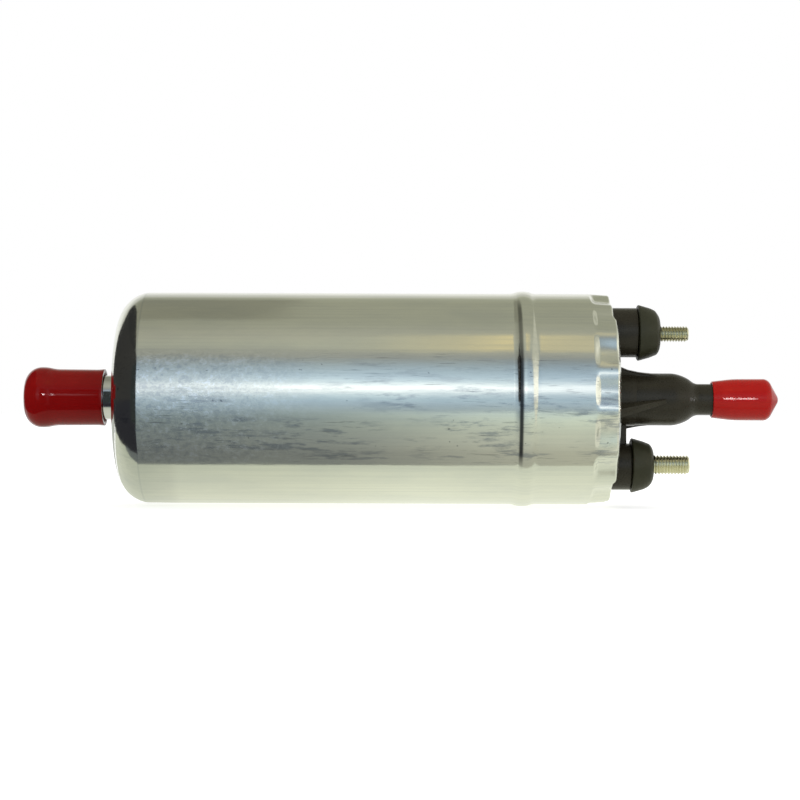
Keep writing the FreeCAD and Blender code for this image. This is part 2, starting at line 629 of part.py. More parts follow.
def inlet_nipple():
    """The steel inlet tube with its hose bead, and the flange that seals against the can's closed end."""
    radius = S.nipple_diameter / 2
    bead = HOSE_BEAD_RADIUS
    bead_start = S.hose_bead_setback - S.nipple_length
    bead_end = bead_start + S.hose_bead_width
    flange = X_FLANGE - X_BOTTOM
    turned_body("inlet_nipple", [
        (-S.nipple_length, S.nipple_bore / 2),
        (-S.nipple_length, radius),
        (bead_start, radius),
        (bead_start + S.hose_bead_slope, bead),
        (bead_end - S.hose_bead_slope, bead),
        (bead_end, radius),
        (flange, radius),
        (flange, FLANGE_RADIUS),
        (flange + S.nipple_flange_thickness, FLANGE_RADIUS),
        (flange + S.nipple_flange_thickness, S.nipple_bore / 2),
    ], x=X_BOTTOM)


def inlet_gasket():
    """The flat ring between the nipple's flange and the can."""
    inner = S.nipple_diameter / 2 + S.seal_squeeze_gap
    turned_body("inlet_gasket", ring_corners(inner, inner + S.gasket_width, S.gasket_thickness),
                x=X_FLANGE - S.gasket_thickness)


def inlet_strainer():
    """The fine mesh disc that lies in the mouth of the inlet chamber."""
    radius = CUP_RADIUS + S.strainer_grip - S.seal_squeeze_gap
    turned_body("inlet_strainer", ring_corners(0, radius, S.strainer_thickness),
                x=X_BOSS + S.strainer_seat_depth - S.strainer_thickness)


def suction_plate():
    """The inlet casting: boss, chamber, seal groove, inlet port, relief valve's bore and tapped holes."""
    disc = S.boss_length
    back = disc + S.suction_plate_thickness
    groove = disc + S.seal_setback
    groove_radius = BORE_RADIUS - S.seal_width
    body = turned_body("suction_plate", [
        (0, CUP_RADIUS + S.strainer_grip),
        (0, BOSS_RADIUS),
        (disc, BOSS_RADIUS),
        (disc, PLATE_RADIUS),
        (groove, PLATE_RADIUS),
        (groove, groove_radius),
        (groove + S.seal_width, groove_radius),
        (groove + S.seal_width, PLATE_RADIUS),
        (back, PLATE_RADIUS),
        (back, 0),
        (S.cup_depth, 0),
        (S.cup_depth, CUP_RADIUS),
        (S.strainer_seat_depth, CUP_RADIUS),
        (S.strainer_seat_depth, CUP_RADIUS + S.strainer_grip),
    ], x=X_BOSS)
    turret = cross_sketch(body, "Turret", offset=S.cup_depth - S.relief_turret_height)
    draw_circle(turret, S.relief_turret_radius, x=-RELIEF_CIRCLE)
    pad(body, turret, S.relief_turret_height + SPARE)
    port = cross_sketch(body, "InletPort", offset=back)
    draw_sector(port, PORT_INNER, PORT_OUTER, S.port_half_angle)
    pocket(body, port, S.relief_seat_depth)
    way = cross_sketch(body, "InletWay", offset=back)
    draw_sector(way, PORT_INNER, CUP_RADIUS - S.port_margin, S.way_half_angle)
    pocket(body, way, back - S.cup_depth + SPARE)
    bore = cross_sketch(body, "ReliefBore", offset=back - S.relief_seat_depth)
    draw_circle(bore, S.relief_bore_radius, x=-RELIEF_CIRCLE)
    pocket(body, bore, back)
    orifice = cross_sketch(body, "ReliefOrifice", offset=back)
    draw_circle(orifice, S.relief_orifice_radius, x=-RELIEF_CIRCLE)
    pocket(body, orifice, S.relief_seat_depth + SPARE)
    screw_holes(body, back, S.screw_depth + SPARE)


def screw_holes(body, plane, depth):
    """Holes for the pump's screws, into the body from a plane towards the inlet."""
    hole = cross_sketch(body, "ScrewHole", offset=plane)
    reach = SCREW_CIRCLE / math.sqrt(2)
    draw_circle(hole, SCREW_HOLE_RADIUS, x=reach, y=reach)
    cut = pocket(body, hole, depth)
    round_pattern(body, [cut], S.screws)


def seal_ring(label, width, x):
    """A rubber ring squeezed into a groove against the can's bore."""
    outer = BORE_RADIUS - S.seal_squeeze_gap
    inner = BORE_RADIUS - width + S.seal_squeeze_gap
    length = width - S.seal_squeeze_gap * 2
    corner = S.seal_corner
    turned_body(label, [
        (0, inner + corner), (0, outer - corner), (corner, outer), (length - corner, outer),
        (length, outer - corner), (length, inner + corner), (length - corner, inner), (corner, inner),
    ], x=x + S.seal_squeeze_gap)


def relief_valve():
    """The ball, spring and plug that let excess pressure back to the inlet."""
    seat = X_CAM - S.relief_seat_depth
    square = S.relief_ball_radius * S.relief_ball_radius
    lift = (square - S.relief_orifice_radius * S.relief_orifice_radius).root() + S.valve_gap
    ball = seat - lift
    ball_body("relief_ball", S.relief_ball_radius, ball, -RELIEF_CIRCLE)
    plug = X_BOSS + S.cup_depth - S.relief_turret_height
    turned_body("relief_plug", ring_corners(S.relief_plug_hole_radius,
                                            S.relief_bore_radius - S.relief_plug_gap, S.relief_plug_length),
                x=plug, y=-RELIEF_CIRCLE)
    reach = spring_reach(S.relief_ball_radius, S.relief_spring_radius, S.relief_wire)
    start = plug + S.relief_plug_length + S.valve_gap + S.relief_wire / 2
    spring("relief_spring", S.relief_spring_radius, S.relief_wire, ball - reach - start, RELIEF_TURNS,
           x=start, y=-RELIEF_CIRCLE)


def ball_body(label, radius, x, y=0):
    """A ball, turned from a half disc."""
    body = new_body(label, x=x, y=y)
    sketch = side_sketch(body, "HalfDisc")
    circle = Part.Circle(Vector(0, 0, 0), Vector(0, 0, 1), radius.number)
    arc = sketch.addGeometry(Part.ArcOfCircle(circle, 0, math.pi), False)
    ends = Vector(-radius.number, 0, 0), Vector(radius.number, 0, 0)
    line = sketch.addGeometry(Part.LineSegment(*ends), False)
    sketch.addConstraint(Sketcher.Constraint("Coincident", arc, 3, -1, 1))
    sketch.addConstraint(Sketcher.Constraint("Coincident", arc, 2, line, 1))
    sketch.addConstraint(Sketcher.Constraint("Coincident", arc, 1, line, 2))
    sketch.addConstraint(Sketcher.Constraint("PointOnObject", line, 1, -1))
    sketch.addConstraint(Sketcher.Constraint("PointOnObject", line, 2, -1))
    rule = sketch.addConstraint(Sketcher.Constraint("Radius", arc, radius.number))
    bind(sketch, f"Constraints[{rule}]", radius)
    turned(body, sketch)
    return body


def spring_reach(ball, coil, wire):
    """From a ball's centre to the middle of the spring's first turn."""
    clear = ball + wire / 2 + S.valve_gap
    return (clear * clear - coil * coil).root()


def bend(start, knee, end):
    """The arc that leaves start towards knee and reaches end from it, knee being as far from both."""
    middle = (start + end) / 2
    half_turn = (knee - start).getAngle(end - knee) / 2
    radius = (knee - start).Length / math.tan(half_turn)
    rise = (knee - middle).normalize() * (radius * (1 - math.cos(half_turn)))
    return Part.Arc(start, middle + rise, end)


def helix_edges(radius, length, turns):
    """A helix along +X as pairs of arcs that run smoothly into each other, half a turn to a pair."""
    steps = turns * 2
    climb = length / (turns * math.tau)
    points = []
    headings = []
    for step in range(steps + 1):
        angle = step * math.pi
        points.append(Vector(climb * angle, radius * math.cos(angle), radius * math.sin(angle)))
        headings.append(Vector(climb, -radius * math.sin(angle), radius * math.cos(angle)).normalize())
    edges = []
    for step in range(steps):
        gap = points[step + 1] - points[step]
        both = headings[step] + headings[step + 1]
        spread = 2 * (1 - headings[step].dot(headings[step + 1]))
        along = gap.dot(both)
        reach = (math.sqrt(along * along + spread * gap.dot(gap)) - along) / spread
        knee = points[step] + headings[step] * reach
        last_knee = points[step + 1] - headings[step + 1] * reach
        joint = (knee + last_knee) / 2
        edges.append(bend(points[step], knee, joint).toShape())
        edges.append(bend(joint, last_knee, points[step + 1]).toShape())
    return edges, points[0], headings[0]


def wire_section(centre, heading, radius):
    """The outline of a spring's square wire, square to its heading."""
    out = Vector(0, 1, 0)
    along = heading.cross(out)
    corners = [centre + (out * a + along * b) * radius for a, b in ((1, 1), (-1, 1), (-1, -1), (1, -1))]
    return Part.makePolygon(corners + corners[:1])


def spring(label, radius, wire, length, turns, x=0, y=0, z=0, turn=None):
    """A coil spring along +X, from the middle of its first turn to the middle of its last."""
    edges, start, heading = helix_edges(radius.number, length.number, turns)
    section = wire_section(start, heading, wire.number / 2)
    shell = Part.BRepOffsetAPI.MakePipeShell(Part.Wire(edges))
    shell.add(section)
    shell.build()
    shell.makeSolid()
    piece = DOC.addObject("Part::Feature", label)
    piece.Label = label
    piece.Shape = shell.shape()
    place(piece, x, y, z, turn)
    PIECES.append(piece)
    print(f"{label}: {length.number / turns - wire.number:.2f} mm between turns")
    return piece


def cam_ring():
    """The ring whose eccentric bore the rollers run in."""
    body = new_body("cam_ring", x=X_CAM)
    ring = cross_sketch(body, "Ring")
    draw_circle(ring, PLATE_RADIUS)
    draw_circle(ring, CAM_BORE_RADIUS, y=S.cam_eccentricity)
    pad(body, ring, S.cam_thickness)
    screw_holes(body, S.cam_thickness, S.cam_thickness + SPARE)


def pump_rotor():
    """The slotted disc that carries the rollers, with the opening for the shaft's tang."""
    body = new_body("pump_rotor", x=X_CAM + S.rotor_side_gap)
    length = S.cam_thickness - S.rotor_side_gap * 2
    half_slot = S.roller_radius + S.roller_gap
    disc = cross_sketch(body, "Disc")
    draw_circle(disc, ROTOR_RADIUS)
    pad(body, disc, length)
    seat = cross_sketch(body, "RollerSeat", offset=length)
    draw_circle(seat, half_slot, y=ROLLER_CIRCLE)
    seat_cut = pocket(body, seat, length + SPARE)
    slot = cross_sketch(body, "RollerSlot", offset=length)
    draw_outline(slot, [
        (-half_slot, ROLLER_CIRCLE), (half_slot, ROLLER_CIRCLE),
        (half_slot, ROTOR_RADIUS + SPARE), (-half_slot, ROTOR_RADIUS + SPARE),
    ])
    slot_cut = pocket(body, slot, length + SPARE)
    round_pattern(body, [seat_cut, slot_cut], S.rollers)
    opening = cross_sketch(body, "TangOpening", offset=length)
    half_width = S.tang_width / 2 + S.tang_gap
    half_height = TANG_HEIGHT / 2 + S.tang_gap
    draw_outline(opening, [
        (-half_width, -half_height), (half_width, -half_height),
        (half_width, half_height), (-half_width, half_height),
    ])
    pocket(body, opening, length + SPARE)


def rollers():
    """The steel rollers, drawn in to the bottom of their slots."""
    length = S.cam_thickness - S.rotor_side_gap * 2
    count = int(S.rollers.number)
    for i in range(count):
        angle = size(RIGHT_ANGLE) + size(i) * WHOLE_TURN / S.rollers
        turned_body(f"roller_{i + 1}", [
            (0, 0), (0, S.roller_radius), (length, S.roller_radius), (length, 0),
        ], x=X_CAM + S.rotor_side_gap, y=ROLLER_CIRCLE * angle.cos(), z=ROLLER_CIRCLE * angle.sin())


def pressure_plate():
    """The plate between the pump and the motor, with the outlet port and the seat of the shaft's bush."""
    length = S.pressure_plate_thickness
    body = turned_body("pressure_plate", [
        (0, S.shaft_radius + S.shaft_clearance), (0, PLATE_RADIUS), (length, PLATE_RADIUS),
        (length, S.bush_radius + S.bush_gap), (S.bush_setback, S.bush_radius + S.bush_gap),
        (S.bush_setback, S.shaft_radius + S.shaft_clearance),
    ], x=X_PRESSURE)
    port = cross_sketch(body, "OutletPort", offset=length)
    draw_sector(port, PORT_INNER, PORT_OUTER, S.port_half_angle, middle=FRONT)
    pocket(body, port, length + SPARE)
    screw_holes(body, length, length + SPARE)
    recess = cross_sketch(body, "ScrewRecess", offset=length)
    reach = SCREW_CIRCLE / math.sqrt(2)
    draw_circle(recess, S.screw_head_radius + S.screw_gap, x=reach, y=reach)
    cut = pocket(body, recess, S.screw_head_height + S.screw_gap)
    round_pattern(body, [cut], S.screws)


def pump_screws():
    """The screws that hold the pump's plates and cam ring together, as one group."""
    shank = S.pressure_plate_thickness - S.screw_head_height - S.screw_gap + S.cam_thickness + S.screw_depth
    body = new_body("pump_screws", x=X_MOTOR - S.screw_gap - S.screw_head_height)
    reach = SCREW_CIRCLE / math.sqrt(2)
    head = cross_sketch(body, "Head")
    draw_circle(head, S.screw_head_radius, x=reach, y=reach)
    head_pad = pad(body, head, S.screw_head_height)
    stem = cross_sketch(body, "Shank")
    draw_circle(stem, S.screw_radius, x=reach, y=reach)
    stem_pad = pad(body, stem, shank, backwards=True)
    round_pattern(body, [head_pad, stem_pad], S.screws)


def motor_field():
    """The flux ring, the two magnets inside it and the spring clips that hold them apart."""
    inner = PLATE_RADIUS - S.flux_ring_wall
    turned_body("flux_ring", ring_corners(inner, PLATE_RADIUS, X_FLUX_END - X_MOTOR), x=X_MOTOR)
    for label, middle in (("upper_magnet", TOP), ("lower_magnet", UNDERNEATH)):
        body = new_body(label, x=X_STACK - S.magnet_overhang)
        sector = cross_sketch(body, "Sector")
        draw_sector(sector, MAGNET_INNER, MAGNET_OUTER, S.magnet_half_angle, middle)
        pad(body, sector, MAGNET_LENGTH)
    edge = size(RIGHT_ANGLE) - S.magnet_half_angle - (S.clip_gap / MAGNET_OUTER) * RADIAN
    leg_half = (S.clip_thickness / MAGNET_OUTER) * (RADIAN / 2)
    for label, middle in (("rear_magnet_clip", REAR), ("front_magnet_clip", FRONT)):
        body = new_body(label, x=X_STACK - S.magnet_overhang)
        back = cross_sketch(body, "Back")
        draw_sector(back, MAGNET_OUTER - S.clip_thickness, MAGNET_OUTER, edge, middle)
        pad(body, back, MAGNET_LENGTH)
        for name, side in (("LowLeg", -1), ("HighLeg", 1)):
            leg = cross_sketch(body, name)
            leg_middle = size(middle) + (edge - leg_half) * side
            draw_sector(leg, MAGNET_OUTER - S.clip_leg, MAGNET_OUTER, leg_half, leg_middle)
            pad(body, leg, MAGNET_LENGTH)


def armature_shaft():
    """The shaft: flat tang into the rotor, two bearing ends and the thick middle under the stack."""
    start = X_CAM + S.shaft_setback
    tang = X_PRESSURE + S.shaft_setback - start
    core = X_SHAFT_CORE - start
    core_end = X_COMMUTATOR_END - start
    end = X_COVER - S.shaft_setback - start
    body = turned_body("armature_shaft", [
        (tang, 0), (tang, S.shaft_radius), (core, S.shaft_radius), (core, S.shaft_core_radius),
        (core_end, S.shaft_core_radius), (core_end, S.shaft_radius), (end, S.shaft_radius), (end, 0),
    ], x=start)
    flat = cross_sketch(body, "Tang", offset=tang)
    draw_outline(flat, [
        (-S.tang_width / 2, -TANG_HEIGHT / 2), (S.tang_width / 2, -TANG_HEIGHT / 2),
        (S.tang_width / 2, TANG_HEIGHT / 2), (-S.tang_width / 2, TANG_HEIGHT / 2),
    ])
    pad(body, flat, tang, backwards=True)


def slot_corners(gap, top):
    """A winding slot's outline along +Y, smaller by a gap on each side, its mouth up to top if given."""
    low = S.shaft_core_radius + S.core_wall + gap
    high = STACK_RADIUS - S.tooth_tip - gap
    narrow = S.slot_inner_half_width - gap
    wide = S.slot_outer_half_width - gap
    corners = [(low, -narrow), (high, -wide)]
    if top is not None:
        mouth = S.slot_mouth / 2
        corners += [(high, -mouth), (top, -mouth), (top, mouth), (high, mouth)]
    return corners + [(high, wide), (low, narrow)]


def lamination_stack():
    """The slotted iron core of the armature."""
    body = turned_body("lamination_stack", ring_corners(S.shaft_core_radius, STACK_RADIUS, STACK_LENGTH),
                       x=X_STACK)
    slot = cross_sketch(body, "Slot", offset=STACK_LENGTH)
    draw_outline(slot, slot_corners(size(0), STACK_RADIUS + SPARE))
    cut = pocket(body, slot, STACK_LENGTH + SPARE)
    round_pattern(body, [cut], S.stack_slots)


def armature_winding():
    """The wire in the slots and its rounded heads beyond both ends of the stack."""
    body = new_body("armature_winding", x=X_STACK)
    near, far = -S.winding_gap, STACK_LENGTH + S.winding_gap
    first = side_sketch(body, "PumpEndHead")
    draw_outline(first, head_corners(near, -1))
    turned(body, first)
    fill = cross_sketch(body, "SlotFill", offset=near - SPARE)
    draw_outline(fill, slot_corners(S.winding_gap, None))
    length = STACK_LENGTH + S.winding_gap * 2 + SPARE * 2
    round_pattern(body, [pad(body, fill, length)], S.stack_slots)
    last = side_sketch(body, "CoverEndHead")
    draw_outline(last, head_corners(far, 1))
    body.Tip = turned(body, last)


def head_corners(start, way):
    """A winding head's outline, from the stack outwards."""
    end = start + S.end_turn_length * way
    bevel = S.end_turn_round
    return [
        (start, HEAD_BORE), (start, HEAD_RADIUS),
        (end - bevel * way, HEAD_RADIUS), (end, HEAD_RADIUS - bevel),
        (end, HEAD_BORE + bevel), (end - bevel * way, HEAD_BORE),
    ]


def commutator():
    """The copper commutator with its riser and the cuts between its bars."""
    riser = S.commutator_radius + S.riser_height
    body = turned_body("commutator", [
        (0, S.shaft_core_radius), (0, riser), (S.riser_length, riser), (S.riser_length, S.commutator_radius),
        (S.commutator_length, S.commutator_radius), (S.commutator_length, S.shaft_core_radius),
    ], x=X_COMMUTATOR)
    cut = side_sketch(body, "BarCut")
    bottom = S.commutator_radius - S.commutator_cut_depth
    draw_outline(cut, [
        (-SPARE, bottom), (-SPARE, riser + SPARE),
        (S.commutator_length + SPARE, riser + SPARE), (S.commutator_length + SPARE, bottom),
    ])
    round_pattern(body, [pocket(body, cut, S.commutator_cut, both_ways=True)], S.stack_slots)


def bearings():
    """The shaft's two bushes and the thrust washers beside them."""
    hole = S.shaft_radius + S.shaft_gap
    pump_bush = S.pressure_plate_thickness - S.bush_setback + S.bush_proud
    turned_body("pump_end_bush", ring_corners(hole, S.bush_radius, pump_bush), x=X_PRESSURE + S.bush_setback)
    turned_body("cover_end_bush", ring_corners(hole, S.bush_radius, X_COVER - X_COVER_BUSH), x=X_COVER_BUSH)
    washer = ring_corners(hole, S.washer_radius, S.washer_thickness)
    turned_body("pump_end_washer", washer, x=X_MOTOR + S.bush_proud + S.washer_gap)
    turned_body("cover_end_washer", washer, x=X_COMMUTATOR_END + S.washer_gap)


def brush_plate():
    """The moulded plate with the cover-end bush, the brush boxes and a skirt to the flux ring."""
    boss = X_COVER_BUSH - X_BRUSH_PLATE
    boss_radius = S.bush_radius + S.brush_plate_boss_wall
    skirt = X_FLUX_END - X_BRUSH_PLATE
    back = S.brush_plate_thickness
    inner = PLATE_RADIUS - S.flux_ring_wall
    bush = S.bush_radius + S.bush_gap
    body = turned_body("brush_plate", [
        (boss, bush), (boss, boss_radius), (0, boss_radius), (0, inner), (skirt, inner),
        (skirt, PLATE_RADIUS), (back, PLATE_RADIUS), (back, bush),
    ], x=X_BRUSH_PLATE)
    top = STRIP_RADIUS - S.strip_gap
    box = cross_sketch(body, "BrushBox")
    draw_outline(box, rectangle(S.brush_box_width / 2, BRUSH_BOX_RADIUS, top))
    box_pad = pad(body, box, S.brush_box_overhang, backwards=True)
    half_slot = S.brush_width / 2 + S.brush_gap
    brush_end = X_BRUSH + S.brush_depth / 2 + S.brush_gap - X_BRUSH_PLATE
    well = cross_sketch(body, "BrushWell", offset=brush_end)
    draw_outline(well, rectangle(half_slot, BRUSH_BOX_RADIUS - SPARE, top + SPARE))
    well_cut = pocket(body, well, S.brush_depth + S.brush_gap * 2)
    gap = cross_sketch(body, "BoxOpening")
    draw_outline(gap, rectangle(half_slot, BRUSH_BOX_RADIUS - SPARE, top + SPARE))
    gap_cut = pocket(body, gap, -brush_end - S.brush_box_wall)
    slot = cross_sketch(body, "StripSlot", offset=back)
    draw_outline(slot, rectangle(S.strip_width / 2 + S.strip_gap, top,
                                 STRIP_RADIUS + S.strip_thickness + S.strip_gap))
    slot_cut = pocket(body, slot, back + SPARE)
    round_pattern(body, [box_pad, well_cut, gap_cut, slot_cut], BRUSHES)
    hole = cross_sketch(body, "FeedHole", offset=back)
    draw_circle(hole, S.feed_hole_radius, x=FEED_HOLE_CIRCLE)
    round_pattern(body, [pocket(body, hole, back + SPARE)], FEED_HOLES)


def rectangle(half_width, low, high):
    """A rectangle to both sides of the sketch's second axis."""
    return [(-half_width, low), (half_width, low), (half_width, high), (-half_width, high)]


def brushes():
    """The carbon brushes, their springs and the contact strips from the studs' heads."""
    inner = S.commutator_radius + S.brush_gap
    outer = inner + BRUSH_LENGTH
    spring_start = outer + S.brush_gap + S.brush_wire / 2
    spring_length = STRIP_RADIUS - S.brush_gap - S.brush_wire / 2 - spring_start
    for name, way, lean in (("upper", UPWARD, RIGHT_ANGLE), ("lower", DOWNWARD, -RIGHT_ANGLE)):
        body = new_body(f"{name}_brush", x=X_BRUSH, turn=way)
        block = cross_sketch(body, "Block", offset=outer)
        draw_outline(block, [
            (-S.brush_width / 2, -S.brush_depth / 2), (S.brush_width / 2, -S.brush_depth / 2),
            (S.brush_width / 2, S.brush_depth / 2), (-S.brush_width / 2, S.brush_depth / 2),
        ])
        pad(body, block, BRUSH_LENGTH + SPARE, backwards=True)
        face = new_sketch(body, "XY_Plane", "Face")
        draw_circle(face, inner)
        pocket(body, face, S.brush_depth + SPARE, both_ways=True)
        side = 1 if name == "upper" else -1
        spring(f"{name}_brush_spring", S.brush_spring_radius, S.brush_wire, spring_length, BRUSH_TURNS,
               x=X_BRUSH, z=spring_start * side, turn=way)
        contact_strip(f"{name}_contact_strip", lean)


def contact_strip(label, lean):
    """A bent brass strip from a stud's head, through the brush plate, to its brush spring."""
    body = new_body(label, x=X_FLOOR - S.stud_head_height)
    sketch = side_sketch(body, "Bend", turn=lean)
    outer = STRIP_RADIUS + S.strip_thickness
    front = X_BRUSH_BOX - X_FLOOR + S.stud_head_height
    foot = TOWER_OFFSET - S.stud_head_radius
    draw_outline(sketch, [
        (0, foot), (0, outer), (front, outer), (front, STRIP_RADIUS),
        (-S.strip_thickness, STRIP_RADIUS), (-S.strip_thickness, foot),
    ])
    pad(body, sketch, S.strip_width, both_ways=True)


def connection_cover():
    """The moulded cover: seal groove, shoulder under the can's lip, terminal towers, webs and outlet."""
    rim = BORE_RADIUS - S.cover_gap
    start = -S.cover_length
    groove = start + S.cover_ring_setback
    groove_radius = BORE_RADIUS - S.cover_ring_width
    under_lip = X_LIP - S.can_wall - S.cover_lip_gap - X_FACE
    under_rim = X_RIM - S.can_wall - S.cover_lip_gap - X_FACE
    nozzle = X_NOZZLE - X_FACE
    end = X_NOZZLE_END - X_FACE
    bead_end = end - S.nozzle_bead_setback
    bead = bead_end - S.nozzle_bead_width
    body = turned_body("connection_cover", [
        (start, CAVITY_RADIUS), (start, rim), (groove, rim), (groove, groove_radius),
        (groove + S.cover_ring_width, groove_radius), (groove + S.cover_ring_width, rim),
        (X_CRIMP - X_FACE, rim), (under_rim, rim - S.crimp_drop),
        (under_lip, LIP_RADIUS - S.cover_lip_gap), (0, LIP_RADIUS - S.cover_lip_gap),
        (0, OUTLET_RADIUS), (S.outlet_length, OUTLET_RADIUS, S.outlet_round),
        (nozzle, NOZZLE_RADIUS, S.nozzle_round), (bead, NOZZLE_RADIUS),
        (bead + S.nozzle_bead_slope, NOZZLE_BEAD_RADIUS), (bead_end, NOZZLE_BEAD_RADIUS),
        (end, NOZZLE_RADIUS - S.nozzle_tip_drop), (end, S.nozzle_bore_radius),
        (S.chamber_length, S.nozzle_bore_radius), (S.chamber_length, S.chamber_radius),
        (X_FLOOR - X_FACE, S.chamber_radius), (X_FLOOR - X_FACE, CAVITY_RADIUS),
    ], x=X_FACE)
    for side, height, thread in ((1, S.upper_tower_height, S.upper_thread_radius),
                                 (-1, S.lower_tower_height, S.lower_thread_radius)):
        tower = cross_sketch(body, "Tower", offset=-S.tower_root)
        draw_circle(tower, S.tower_radius, y=TOWER_OFFSET * side)
        pad(body, tower, height + S.tower_root)
        spigot = cross_sketch(body, "Spigot", offset=height)
        draw_circle(spigot, S.spigot_radius, y=TOWER_OFFSET * side)
        pad(body, spigot, S.spigot_length)
        hole = cross_sketch(body, "StudHole", offset=height + S.spigot_length)
        draw_circle(hole, thread - S.thread_relief + S.shank_gap, y=TOWER_OFFSET * side)
        pocket(body, hole, height + S.spigot_length + S.cover_length)
    web = side_sketch(body, "Web", turn=-RIGHT_ANGLE)
    draw_outline(web, [
        (-S.tower_root, OUTLET_RADIUS - SPARE), (S.web_height, OUTLET_RADIUS - SPARE),
        (S.web_height, TOWER_OFFSET - S.tower_radius + SPARE),
        (-S.tower_root, TOWER_OFFSET - S.tower_radius + SPARE),
    ])
    pad(body, web, S.web_thickness, both_ways=True)
    gusset = side_sketch(body, "Gusset", turn=S.gusset_turn)
    draw_outline(gusset, [
        (-S.tower_root, OUTLET_RADIUS - SPARE), (-S.tower_root, OUTLET_RADIUS + S.gusset_reach),
        (0, OUTLET_RADIUS + S.gusset_reach),
        (S.gusset_knee_height, OUTLET_RADIUS + S.gusset_knee_reach, S.gusset_knee_round),
        (S.gusset_length, OUTLET_RADIUS - S.valve_gap), (S.gusset_length, OUTLET_RADIUS - SPARE),
    ])
    round_pattern(body, [pad(body, gusset, S.gusset_thickness, both_ways=True)], S.gussets)


def outlet_valve():
    """The pressed-in seat, the ball and the spring that close the outlet when the pump stops."""
    turned_body("valve_seat", ring_corners(S.valve_seat_bore_radius, S.chamber_radius - S.seal_squeeze_gap,
                                           S.valve_seat_length), x=X_FLOOR)
    square = S.valve_ball_radius * S.valve_ball_radius
    lift = (square - S.valve_seat_bore_radius * S.valve_seat_bore_radius).root() + S.valve_gap
    ball = X_FLOOR + S.valve_seat_length + lift
    ball_body("valve_ball", S.valve_ball_radius, ball)
    start = ball + spring_reach(S.valve_ball_radius, S.valve_spring_radius, S.valve_wire)
    end = X_FACE + S.chamber_length - S.valve_gap - S.valve_wire / 2
    spring("valve_spring", S.valve_spring_radius, S.valve_wire, end - start, VALVE_TURNS, x=start)


def stud(label, side, thread, thread_length, boot_front):
    """A terminal stud: hexagonal head inside the cover, thin shank, and the thread beyond its boot."""
    shank = thread - S.thread_relief
    tip = boot_front + thread_length - X_FLOOR
    body = turned_body(label, [
        (0, 0), (0, shank), (boot_front - X_FLOOR, shank), (boot_front - X_FLOOR, thread),
        (tip - S.thread_chamfer, thread), (tip, thread - S.thread_chamfer), (tip, 0),
    ], x=X_FLOOR, z=TOWER_OFFSET * side)
    head = cross_sketch(body, "Head")
    angles = [math.tau * i / HEXAGON for i in range(HEXAGON)]
    across = S.stud_head_radius
    draw_outline(head, [(across * math.cos(angle), across * math.sin(angle)) for angle in angles])
    pad(body, head, S.stud_head_height, backwards=True)


def boot(label, side, tower, radius, length, thread):
    """A rubber boot over a tower's spigot, with the stud's thread coming out of its crown."""
    bore = S.spigot_radius + S.boot_gap
    hole = thread + S.boot_hole_gap
    depth = S.spigot_length + S.boot_gap
    turned_body(label, [
        (0, bore), (0, radius - S.boot_back_chamfer), (S.boot_back_chamfer, radius),
        (length, radius - S.boot_taper, S.boot_round), (length, hole), (depth, hole), (depth, bore),
    ], x=tower + S.boot_gap, z=TOWER_OFFSET * side)


def terminals():
    """Both studs and their boots."""
    upper_front = X_UPPER_TOWER + S.boot_gap + S.upper_boot_length
    lower_front = X_LOWER_TOWER + S.boot_gap + S.lower_boot_length
    stud("upper_stud", 1, S.upper_thread_radius, S.upper_thread_length, upper_front)
    stud("lower_stud", -1, S.lower_thread_radius, S.lower_thread_length, lower_front)
    boot("upper_boot", 1, X_UPPER_TOWER, S.upper_boot_radius, S.upper_boot_length, S.upper_thread_radius)
    boot("lower_boot", -1, X_LOWER_TOWER, S.lower_boot_radius, S.lower_boot_length, S.lower_thread_radius)


def inlet_cap():
    """The push-on cap on the inlet, with a head that swells over the hose bead."""
    end = X_BOTTOM - S.nipple_length - S.cap_gap - S.inlet_cap_end_wall
    bore = HOSE_BEAD_RADIUS + S.cap_gap
    bulge = S.inlet_cap_bulge_radius
    turned_body("inlet_cap", [
        (0, 0), (0, bulge, S.inlet_cap_round), (S.inlet_cap_bulge, bulge),
        (S.inlet_cap_head, S.inlet_cap_radius), (S.inlet_cap_length, S.inlet_cap_radius),
        (S.inlet_cap_length, bore), (S.inlet_cap_end_wall, bore), (S.inlet_cap_end_wall, 0),
    ], x=end)


def outlet_cap():
    """The push-on cap on the outlet, tapering at its mouth and ending in a blunt cone."""
    length = S.outlet_cap_length
    depth = S.outlet_cap_overlap + S.cap_gap
    bore = NOZZLE_BEAD_RADIUS + S.cap_gap
    turned_body("outlet_cap", [
        (0, bore), (0, S.outlet_cap_mouth_radius), (S.outlet_cap_taper, S.outlet_cap_radius),
        (length - S.outlet_cap_nose, S.outlet_cap_radius, S.outlet_cap_shoulder_round),
        (length, S.outlet_cap_nose_radius), (length, 0), (depth, 0), (depth, bore),
    ], x=X_NOZZLE_END - S.outlet_cap_overlap)


def build():
    """Every sub-part, from the inlet to the outlet."""
    can()
    inlet_nipple()
    inlet_gasket()
    inlet_strainer()
    suction_plate()
    seal_ring("pump_seal_ring", S.seal_width, X_SUCTION + S.seal_setback)
    relief_valve()
    cam_ring()
    pump_rotor()
    rollers()
    pressure_plate()
    pump_screws()
    motor_field()
    armature_shaft()
    lamination_stack()
    armature_winding()
    commutator()
    bearings()
    brush_plate()
    brushes()
    connection_cover()
    seal_ring("cover_seal_ring", S.cover_ring_width, X_COVER + S.cover_ring_setback)
    outlet_valve()
    terminals()
    inlet_cap()
    outlet_cap()


